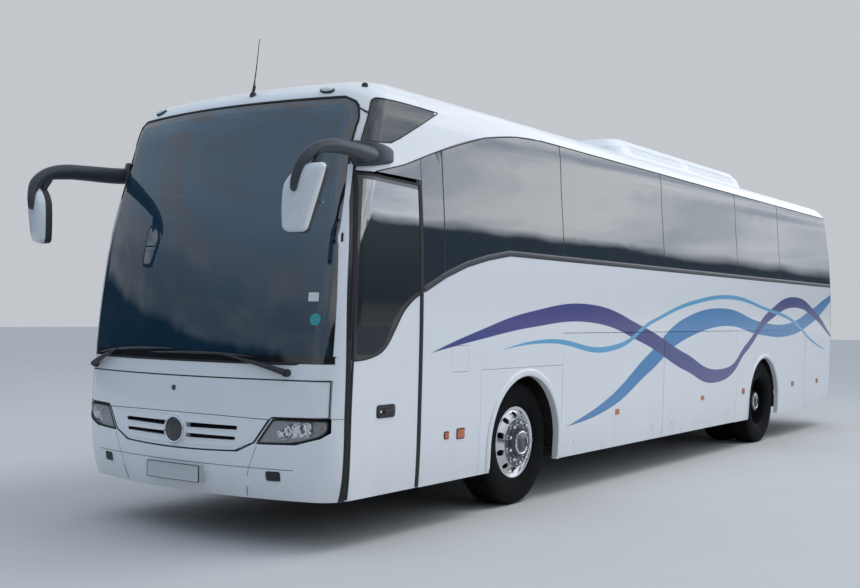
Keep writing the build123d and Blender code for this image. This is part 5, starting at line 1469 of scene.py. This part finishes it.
# ------------------------------------------------------------------
# Rear end
# ------------------------------------------------------------------
m = Mesh()
out = rounded2([(-1.06, 2.13), (1.06, 2.13), (1.01, 3.01), (-1.01, 3.01)], 0.09)
strip(m, [rear_pt(p.x, p.y) for p in dense(out, 0.04)], 0.016, 0.003, 0.005, closed=True)
m.build("rear_glass_gasket", rubber, "body", smooth=50)
m = Mesh()
out = rounded2([(-0.8625, 0.7875), (0.8625, 0.7875), (0.8625, 1.8425), (-0.8625, 1.8425)], 0.06)
strip(m, [rear_pt(p.x, p.y) for p in dense(out, 0.04)], 0.009, 0.0014, 0.004, closed=True)
for k in range(9):
    z = 1.30 + k * 0.052
    base = [rear_pt(x, z) for x in np.linspace(-0.66, 0.66, 20)]
    prof = ((0.022, -0.006), (0.022, 0.001), (0.006, 0.010), (-0.012, 0.014), (-0.016, 0.010), (-0.010, -0.006))
    rings = [[h[0] + Vector((0, q, w)) for w, q in prof] for h in base]
    v, f = loft(rings)
    m.add(v, f, 1)
out = rounded2([(-0.69, 1.265), (0.69, 1.265), (0.69, 1.755), (-0.69, 1.755)], 0.03)
strip(m, [rear_pt(p.x, p.y) for p in dense(out, 0.04)], 0.014, 0.005, 0.004, closed=True, mat=0)
out = rounded2([(-0.10, 0.835), (0.10, 0.835), (0.10, 0.885), (-0.10, 0.885)], 0.015)
plate_on(m, out, rear_pt, 0.004, 0.004, mat=1)
strip(m, [rear_pt(x, 0.862) for x in np.linspace(-0.08, 0.08, 6)], 0.016, 0.014, 0.002, mat=0)
m.build("lid_trim", [rubber, black_plastic], "engine_lid", smooth=45)
m = Mesh()
# two short seam lines as thin dark strips of painted shade
strip(m, [rear_pt(x, 0.782 - 0.0) for x in np.linspace(-1.16, -0.88, 10)], 0.004, 0.0006, 0.003)
strip(m, [rear_pt(x, 0.782 - 0.0) for x in np.linspace(0.88, 1.16, 10)], 0.004, 0.0006, 0.003)
for x in (-0.42, 0.42):
    out = rounded2([(x - 0.055, 0.560), (x + 0.055, 0.560), (x + 0.055, 0.600), (x - 0.055, 0.600)], 0.012)
    plate_on(m, out, rear_pt, 0.003, 0.004, mat=1)
for sx in (1, -1):
    out = rounded2([(0.93, 0.560), (1.09, 0.560), (1.09, 0.612), (0.93, 0.612)], 0.012)
    plate_on(m, [(sx * p.x, p.y) for p in out], rear_pt, 0.005, 0.004, mat=2)
    out = rounded2([(0.88, 3.045), (1.00, 3.045), (1.00, 3.075), (0.88, 3.075)], 0.010)
    plate_on(m, [(sx * p.x, p.y) for p in out], rear_pt, 0.008, 0.004, mat=2)
    # rings moulded into the tail lamps
    for z in (0.895, 1.045, 1.190, 1.360, 1.470):
        c = rear_pt(sx * 1.105, z)
        if c:
            v, f = lathe([(0.0, 0.062), (0.006, 0.060), (0.008, 0.055), (0.004, 0.050)], tuple(c[0]), "y", 40, loop=False)
            m.add(v, f, 3)
# plate lamps over the rear plate
for x in (-0.17, 0.17):
    c = rear_pt(x, 0.772)
    if c:
        block(m, c[0] + Vector((0, 0.012, 0)), (0.03, 0.016, 0.010), 0.008, (5, 4, 4), mat=1)
out = rounded2([(-0.16, 3.045), (0.16, 3.045), (0.16, 3.070), (-0.16, 3.070)], 0.010)
plate_on(m, out, rear_pt, 0.008, 0.004, mat=2)
m.build("rear_fittings", [seam_shade_mat, black_plastic, red_lens, chrome], "body", smooth=45)

# ------------------------------------------------------------------
# Roof: climate pod grilles and fans, hatch seals
# ------------------------------------------------------------------
m = Mesh()
for s in (6.15, 7.00, 7.85, 8.60):
    for x in (-0.30, 0.30):
        h = top_pt(x, s)
        v, f = lathe([(-0.004, 0.235), (0.012, 0.232), (0.016, 0.222), (0.006, 0.214)], tuple(h[0]), "z", 64, loop=False)
        m.add(v, f, 0)
        for r in (0.06, 0.10, 0.14, 0.18):
            v, f = lathe([(0.004, r - 0.003), (0.009, r - 0.002), (0.009, r + 0.002), (0.004, r + 0.003)], tuple(h[0]), "z", 48, loop=False)
            m.add(v, f, 0)
        for k in range(8):
            a = math.pi * k / 4
            tube(m, [h[0] + Vector((0.03 * math.cos(a), 0.03 * math.sin(a), 0.006)), h[0] + Vector((0.22 * math.cos(a), 0.22 * math.sin(a), 0.006))], 0.0035, 6)
        v, f = lathe([(0.002, 0.055), (0.012, 0.050), (0.016, 0.030), (0.017, 0.001)], tuple(h[0]), "z", 32, loop=False)
        m.add(v, f, 0)
        # flat near-black disc under the fan rings: painted shadow of the fan opening
        v, f = lathe([(0.0008, 0.213), (0.0012, 0.100), (0.0014, 0.001)], tuple(h[0]), "z", 48, loop=False)
        m.add(v, f, 1)
m.build("roof_fans", [black_plastic, shade_and_dial_black], "body", smooth=45)
m = Mesh()
for sx in (1, -1):
    for s0, s1 in ((5.80, 7.20), (7.45, 8.95)):
        for k in range(4):
            z = 3.385 + k * 0.022
            strip(m, [hit((sx * 2.0, Y(s), z), (-sx, 0, 0)) for s in np.linspace(s0, s1, 16)], 0.010, 0.003, 0.003)
m.build("roof_pod_slots", paint_plain, "body", smooth=45)

for name, s in (("front_hatch", 3.65), ("rear_hatch", 10.30)):
    m = Mesh()
    out = [Vector((p.x, p.y)) for p in rounded2([(-0.434, -0.434), (0.434, -0.434), (0.434, 0.434), (-0.434, 0.434)], 0.05)]
    P = [(Vector((p.x, Y(s) + p.y, 3.357)), Vector((p.x, p.y, 0)).normalized()) for p in dense(out, 0.05)]
    strip(m, P, 0.012, 0.003, 0.004, closed=True, mat=0)
    # pressed dome on the lid
    rings = []
    sq = [Vector((p.x, p.y)) for p in dense([Vector(p) for p in rounded2([(-0.36, -0.36), (0.36, -0.36), (0.36, 0.36), (-0.36, 0.36)], 0.08)], 0.05)]
    for shrink, z in ((1.0, 3.386), (0.985, 3.394), (0.95, 3.399), (0.7, 3.403), (0.3, 3.405)):
        rings.append([Vector((p.x * shrink, Y(s) + p.y * shrink, z)) for p in sq])
    v, f = loft(rings)
    m.add(v, f, 1)
    m.build(name + "_dome", [rubber, paint_plain], name, smooth=45)

# ------------------------------------------------------------------
# Seats
# ------------------------------------------------------------------
FLOOR, COCKPIT = 1.390, 1.000


def seat(cloth, hard, x0, x1, s, z, back, pale=2):
    """Two-piece cushion and contoured back with side bolsters, head pad, shell and legs."""
    cx, w = (x0 + x1) / 2, (x1 - x0)
    hw = w / 2 - 0.012

    def seat_warp(u, q):
        edge = abs(u[0]) ** 3
        if u[2] > 0:
            q[2] += 0.016 * edge - 0.010 * math.exp(-((u[1] - 0.45) / 0.10) ** 2) * (1 - edge)
            q[2] -= 0.020 * max(0.0, -u[1] - 0.5)
        return q

    block(cloth, (cx, Y(s + 0.222), z + 0.350), (hw, 0.218, 0.058), 0.036, (10, 10, 4), crown=0.012, pull=0.006, warp=seat_warp)
    lean = math.atan2(0.16, 1.0)
    up = Vector((0, math.sin(lean), math.cos(lean)))
    fwd = Vector((0, -math.cos(lean), math.sin(lean)))
    right = Vector((1, 0, 0))
    # two-part back, 48 mm thick at its middle, with bolsters
    hb = back / 2 - 0.010
    c = Vector((cx, Y(s + 0.448), z + 0.421)) + up * (hb + 0.012)

    def back_warp(u, q):
        edge = abs(u[0]) ** 3
        if u[2] > 0:
            q[2] += 0.018 * edge * (1 - max(0.0, u[1]) * 0.6)
            for line in (-0.35, 0.05, 0.48):
                q[2] -= 0.008 * math.exp(-((u[1] - line) / 0.05) ** 2) * (1 - edge)
            q[2] += 0.014 * math.exp(-((u[1] - 0.75) / 0.2) ** 2) * (1 - edge)
        q[0] *= 1 - 0.16 * max(0.0, u[1] - 0.3)
        return q

    block(cloth, c, (hw, hb, 0.042), 0.034, (10, 20, 3), crown=0.010, pull=0.004, axes=(right, up, fwd), warp=back_warp)
    block(cloth, c + up * (hb * 0.72) + fwd * 0.043, (hw * 0.60, hb * 0.20, 0.012), 0.011, (6, 5, 2), crown=0.004, axes=(right, up, fwd), mat=1)
    block(hard, c - fwd * 0.044, (hw * 0.96, hb * 0.95, 0.006), 0.006, (4, 6, 2), crown=0.004, axes=(right, up, fwd))
    block(hard, (cx, Y(s + 0.215), z + 0.276), (hw * 0.9, 0.19, 0.014), 0.010, (4, 4, 2))
    for dx in (-0.10, 0.10):
        tube(hard, [Vector((cx + dx, Y(s + 0.20), z + 0.004)), Vector((cx + dx, Y(s + 0.21), z + 0.14)), Vector((cx + dx, Y(s + 0.215), z + 0.265))], 0.018, 8)


for label, specs in (("seats_front_half", [(x0, 2.120 + 0.790 * i) for i in range(6) for x0 in (-1.150, -0.700, 0.260, 0.710)]),
                     ("seats_rear_half", [(x0, 2.120 + 0.790 * i) for i in range(6, 12) for x0 in (-1.150, -0.700, 0.260, 0.710) if not (x0 > 0 and i == 6)])):
    cloth, hard = Mesh(), Mesh()
    for x0, s in specs:
        seat(cloth, hard, x0, x0 + 0.435, s, FLOOR + 0.001, 0.720)
    oc = cloth.build(label + "_cushions", [fabric, head_cloth], "body", smooth=60)
    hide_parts("passenger_seats")
    oh = hard.build(label + "_frames", dark_trim, "body", smooth=40)
    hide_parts("passenger_seats")
cloth, hard = Mesh(), Mesh()
seat(cloth, hard, -0.860, -0.420, 1.120, COCKPIT + 0.001, 0.760)
for sx in (-1, 1):
    block(hard, (-0.640 + sx * 0.235, Y(1.42), COCKPIT + 0.60), (0.022, 0.16, 0.020), 0.018, (4, 8, 4))
tube(hard, [V(-0.64, 1.33, COCKPIT + 0.003), V(-0.64, 1.33, COCKPIT + 0.26)], [0.075, 0.06], 20)
oc = cloth.build("driver_seat_cushions", [fabric, head_cloth], "body", smooth=60)
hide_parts("driver_seat")
oh = hard.build("driver_seat_frame", dark_trim, "body", smooth=40)
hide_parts("driver_seat")

# ------------------------------------------------------------------
# Cab: instruments, wheel, blinds
# ------------------------------------------------------------------
m = Mesh()
tilt = math.radians(28)
zax = Vector((0, math.sin(tilt), math.cos(tilt)))
xax = Vector((1, 0, 0))
yax = zax.cross(xax)
c = V(-0.640, 0.900, 1.660)
rings = []
for k in range(96):
    a = 2 * math.pi * k / 96
    d = xax * math.cos(a) + yax * math.sin(a)
    grip = 0.0145 + (0.0012 if 8 < k % 48 < 20 else 0.0)
    rings.append([c + d * (0.225 + grip * math.cos(q)) + zax * (grip * math.sin(q)) for q in [2 * math.pi * j / 14 for j in range(14)]])
v, f = loft(rings, loop=True)
m.add(v, f, 0)
for ang in (0, 180, 90, 270):
    a = math.radians(ang + 20 * (1 if ang in (0,) else -1 if ang == 180 else 0))
    d = xax * math.cos(a) + yax * math.sin(a)
    if ang == 270:
        continue
    p = spline([c + d * 0.04 - zax * 0.030, c + d * 0.12 - zax * 0.020, c + d * 0.216], 0.02)
    tube(m, p, radii(p, ((0.0, 0.020), (0.5, 0.015), (1.0, 0.011))), 10, mat=1)
block(m, c - zax * 0.030, (0.062, 0.058, 0.020), 0.018, (8, 8, 4), crown=0.006, axes=(xax, yax, zax), mat=1)
p = spline([c - zax * 0.04, c - zax * 0.10 + Vector((0, -0.03, 0)), V(-0.640, 0.800, 1.46)], 0.03)
tube(m, p, radii(p, ((0.0, 0.040), (0.5, 0.036), (1.0, 0.055))), 20, mat=1)
ox = m.build("steering_wheel_rim", [leather, dark_trim], "body", smooth=60)
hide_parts("steering_wheel")

m = Mesh()
# binnacle hood with dials
for dx, r in ((-0.11, 0.052), (0.0, 0.040), (0.11, 0.052)):
    base = V(-0.640 + dx, 0.735, 1.455)
    v, f = lathe([(0.0, r), (0.012, r), (0.014, r - 0.004), (0.006, r - 0.006)], tuple(base), "z", 36, loop=False)
    m.add(v, f, 1)
    v, f = lathe([(0.006, r - 0.006), (0.006, 0.001)], tuple(base), "z", 36, loop=False)
    m.add(v, f, 2)
    tube(m, [base + Vector((0, 0, 0.009)), base + Vector((r * 0.6, 0.01, 0.009))], 0.0014, 6, mat=3)
hood = []
for k in range(13):
    a = math.pi * k / 12
    hood.append([V(-0.640 - 0.22 * math.cos(a), 0.60 + 0.02 * math.sin(a), 1.425 + 0.075 * math.sin(a)), V(-0.640 - 0.23 * math.cos(a), 0.70, 1.425 + 0.095 * math.sin(a)), V(-0.640 - 0.235 * math.cos(a), 0.76, 1.425 + 0.090 * math.sin(a)),
                 V(-0.640 - 0.220 * math.cos(a), 0.76, 1.425 + 0.078 * math.sin(a)), V(-0.640 - 0.205 * math.cos(a), 0.60, 1.420 + 0.060 * math.sin(a))])
v, f = loft(hood)
m.add(v, f, 0)
# centre stack: screen and switch rows, vents
block(m, V(-0.16, 0.66, 1.455), (0.13, 0.05, 0.030), 0.012, (6, 4, 4), mat=0)
for i in range(8):
    for j in range(2):
        block(m, V(-0.255 + i * 0.027, 0.625 + j * 0.04, 1.488), (0.010, 0.014, 0.004), 0.003, (2, 2, 2), mat=1)
for x in (-1.02, -0.30, 0.10):
    for k in range(6):
        block(m, V(x - 0.05 + k * 0.02, 0.50, 1.330), (0.004, 0.040, 0.006), 0.003, (2, 3, 2), mat=1)
m.build("cab_controls", [dark_trim, black_plastic, shade_and_dial_black, head_cloth], "body", smooth=45)

m = Mesh()
# roller blinds at the head of the screen
for x0, x1 in ((-1.00, -0.06), (0.06, 1.00)):
    rings = []
    for x in np.linspace(x0, x1, 26):
        h = front_pt(x, 2.98)
        y = h[0].y + 0.115
        fold = 0.004 * math.sin(x * 40)
        rings.append([Vector((x, y + fold, 2.985)), Vector((x, y + 0.004 + fold, 2.985)), Vector((x, y + 0.002 + fold - 0.045, 2.805)), Vector((x, y - 0.002 + fold - 0.045, 2.805))])
    v, f = loft(rings)
    m.add(v, f, 0)
    bar = []
    for x in np.linspace(x0, x1, 14):
        h = front_pt(x, 2.98)
        bar.append(Vector((x, h[0].y + 0.072, 2.800)))
    tube(m, bar, 0.010, 10, mat=1)
m.build("screen_blinds", [dark_trim, grey_plastic], "body", smooth=45)

# parcel-rack undersides with reading lights and nozzles
m = Mesh()
for sx in (1, -1):
    for i in range(12):
        y = Y(2.30 + 0.79 * i)
        if Y(2.7) < y < Y(11.4):
            block(m, (sx * 0.93, y, 2.812), (0.13, 0.06, 0.008), 0.006, (5, 4, 2), mat=0)
            for dx in (-0.06, 0.06):
                v, f = lathe([(0.0, 0.020), (-0.010, 0.019), (-0.014, 0.012), (-0.014, 0.0005)], (sx * 0.93 + dx, y, 2.806), "z", 16, loop=False)
                m.add(v, f, 1)
m.build("reading_lights", [trim, head_cloth], "body", smooth=45)

# two stickers low on the screen: blank
m = Mesh()


def inside_patch(x, z, w, hgt, round_=False, mt=0):
    h = front_pt(x, z)
    if not h:
        return
    n = h[1]
    a = Vector((0, 0, 1)).cross(n).normalized()
    b = n.cross(a)
    k = 28 if round_ else 4
    rings = []
    for lift in (0.0010, 0.0018):
        if round_:
            rings.append([h[0] + a * (w * math.cos(2 * math.pi * i / k)) + b * (w * math.sin(2 * math.pi * i / k)) + n * lift for i in range(k)])
        else:
            rings.append([h[0] + a * (p * w) + b * (q * hgt) + n * lift for p, q in ((-1, -1), (1, -1), (1, 1), (-1, 1))])
    v, f = loft(rings)
    m.add(v, f, mt)


sticker_teal = plain("sticker_teal", rgb(0.03, 0.30, 0.33), rgb(0.05, 0.36, 0.38), 50.0, (0.3, 0.4), 800.0, 0.1, 0.0002)
sticker_white = plain("sticker_white", rgb(0.66, 0.70, 0.72), rgb(0.72, 0.75, 0.77), 50.0, (0.3, 0.4), 800.0, 0.1, 0.0002)
inside_patch(1.057, 1.695, 0.038, 0.030, False, 0)
inside_patch(1.085, 1.545, 0.041, 0.041, True, 1)
m.build("screen_stickers", [sticker_white, sticker_teal], "body", smooth=0)

# sensor eye on the flap
m = Mesh()
h = front_pt(-0.040, 1.050)
v, f = lathe([(0.002, 0.020), (-0.004, 0.019), (-0.006, 0.014), (-0.004, 0.011), (-0.006, 0.0005)], tuple(h[0]), "y", 32, loop=False)
m.add(v, f)
m.build("flap_sensor", frame_grey, "front_flap", smooth=45)

# ------------------------------------------------------------------
# Stage, light, camera
# ------------------------------------------------------------------
fl = Mesh()
R = 80.0
rows = []
for i in range(2):
    rows.append([Vector((-R + 2 * R * j, -R + 2 * R * i, -0.0005)) for j in range(2)])
v, f = loft(rows, closed_ring=False, caps=False)
floor_m, ft, fb = new_mat("studio_floor", Roughness=0.85)
fo, fx, fy, fz = coords(ft)
ft.links.new(mixc(ft, grain(ft, fo, 0.6, 3.0), rgb(0.52, 0.53, 0.535), rgb(0.57, 0.575, 0.58)), fb.inputs["Base Color"])
finish_mesh("studio_floor", v, f, floor_m, None, smooth=0, stage=True)

world = bpy.data.worlds.new("studio")
bpy.context.scene.world = world
world.use_nodes = True
wt = world.node_tree
for nd in list(wt.nodes):
    wt.nodes.remove(nd)
wc = add(wt, "ShaderNodeTexCoord")
wsep = add(wt, "ShaderNodeSeparateXYZ", {0: wc.outputs["Generated"]})
wx, wy, wz = wsep.outputs[0], wsep.outputs[1], wsep.outputs[2]
clouds = add(wt, "ShaderNodeTexNoise", {"Vector": add(wt, "ShaderNodeMapping", {"Vector": wc.outputs["Generated"], "Scale": (1.6, 1.6, 5.0)}).outputs[0], "Scale": 2.2, "Detail": 5.0, "Roughness": 0.55}).outputs[0]
rough_edge = add(wt, "ShaderNodeTexNoise", {"Vector": wc.outputs["Generated"], "Scale": 7.0, "Detail": 4.0, "Roughness": 0.6}).outputs[0]
tree_top = op(wt, "MAXIMUM", span(wt, wx, 0.25, 0.80, 0.065, 0.195), span(wt, wx, 0.0, -0.3, 0.06, 0.14))
above = op(wt, "ADD", op(wt, "SUBTRACT", wz, tree_top), op(wt, "MULTIPLY", op(wt, "SUBTRACT", rough_edge, 0.5), 0.05))
heaven = ramp(wt, span(wt, wz, 0.0, 1.0), [(0.0, rgb(0.50, 0.55, 0.62)), (0.25, rgb(0.55, 0.62, 0.71)), (0.45, rgb(0.62, 0.69, 0.78)), (1.0, rgb(0.60, 0.67, 0.77))])
toward = op(wt, "ADD", op(wt, "MULTIPLY", wx, 0.57), op(wt, "MULTIPLY", wy, 0.82))
heaven = mixc(wt, op(wt, "MULTIPLY", span(wt, toward, 0.0, -0.6), span(wt, wz, 0.20, 0.45)), heaven, rgb(1.05, 1.45, 1.95))
heaven = mixc(wt, op(wt, "MULTIPLY", span(wt, clouds, 0.42, 0.62), span(wt, wz, 0.02, 0.10, 0.0, 0.8)), heaven, rgb(1.15, 1.17, 1.20))
low = ramp(wt, span(wt, wz, -0.2, 0.06), [(0.0, rgb(0.34, 0.35, 0.36)), (0.72, rgb(0.30, 0.31, 0.32)), (0.85, rgb(0.050, 0.062, 0.070)), (1.0, rgb(0.040, 0.052, 0.060))])
sky = mixc(wt, span(wt, above, -0.006, 0.012), low, heaven)
gain = op(wt, "ADD", span(wt, toward, -0.9, 0.6, 0.42, 0.92), span(wt, toward, 0.6, 0.95, 0.0, 0.95))
sky = mixc(wt, 1.0, sky, add(wt, "ShaderNodeCombineXYZ", {0: gain, 1: gain, 2: gain}).outputs[0], "MULTIPLY")
seen = add(wt, "ShaderNodeLightPath").outputs["Is Camera Ray"]
sky = mixc(wt, seen, sky, rgb(0.55, 0.57, 0.60))
bg = add(wt, "ShaderNodeBackground", {0: sky, 1: 1.0})
wo = add(wt, "ShaderNodeOutputWorld")
wt.links.new(bg.outputs[0], wo.inputs[0])


def area(name, loc, aim, size, power, colour=(1, 1, 1)):
    d = bpy.data.lights.new(name, "AREA")
    d.shape = "RECTANGLE"
    d.size, d.size_y = size
    d.energy = power
    d.color = colour
    o = bpy.data.objects.new(name, d)
    bpy.context.scene.collection.objects.link(o)
    o.location = loc
    o.rotation_mode = "QUATERNION"
    o.rotation_quaternion = (Vector(aim) - Vector(loc)).to_track_quat("-Z", "Y")
    o.visible_glossy = False
    return o


area("key", (5.8, 1.0, 14.0), (0.5, -1.0, 1.2), (9.0, 6.0), 820.0, (1.0, 0.99, 0.97))
area("fill", (-10.0, -9.0, 9.0), (0.0, -2.0, 1.4), (8.0, 6.0), 110.0, (0.93, 0.96, 1.0))

bpy.context.scene.view_settings.view_transform = "Standard"
yaw, pitch, roll = math.radians(34.974), math.radians(1.050), math.radians(0.760)
fwd = Vector((-math.sin(yaw) * math.cos(pitch), math.cos(yaw) * math.cos(pitch), math.sin(pitch)))
rgt = Vector((math.cos(yaw), math.sin(yaw), 0))
upv = rgt.cross(fwd)
r2 = rgt * math.cos(roll) + upv * math.sin(roll)
u2 = -rgt * math.sin(roll) + upv * math.cos(roll)
cd = bpy.data.cameras.new("view")
cd.sensor_width = 36.0
cd.lens = 46.52
cd.clip_end = 500.0
cam = bpy.data.objects.new("view", cd)
bpy.context.scene.collection.objects.link(cam)
cam.matrix_world = Matrix(((r2.x, u2.x, -fwd.x, 5.938), (r2.y, u2.y, -fwd.y, -11.274), (r2.z, u2.z, -fwd.z, 1.589), (0, 0, 0, 1)))
bpy.context.scene.camera = cam
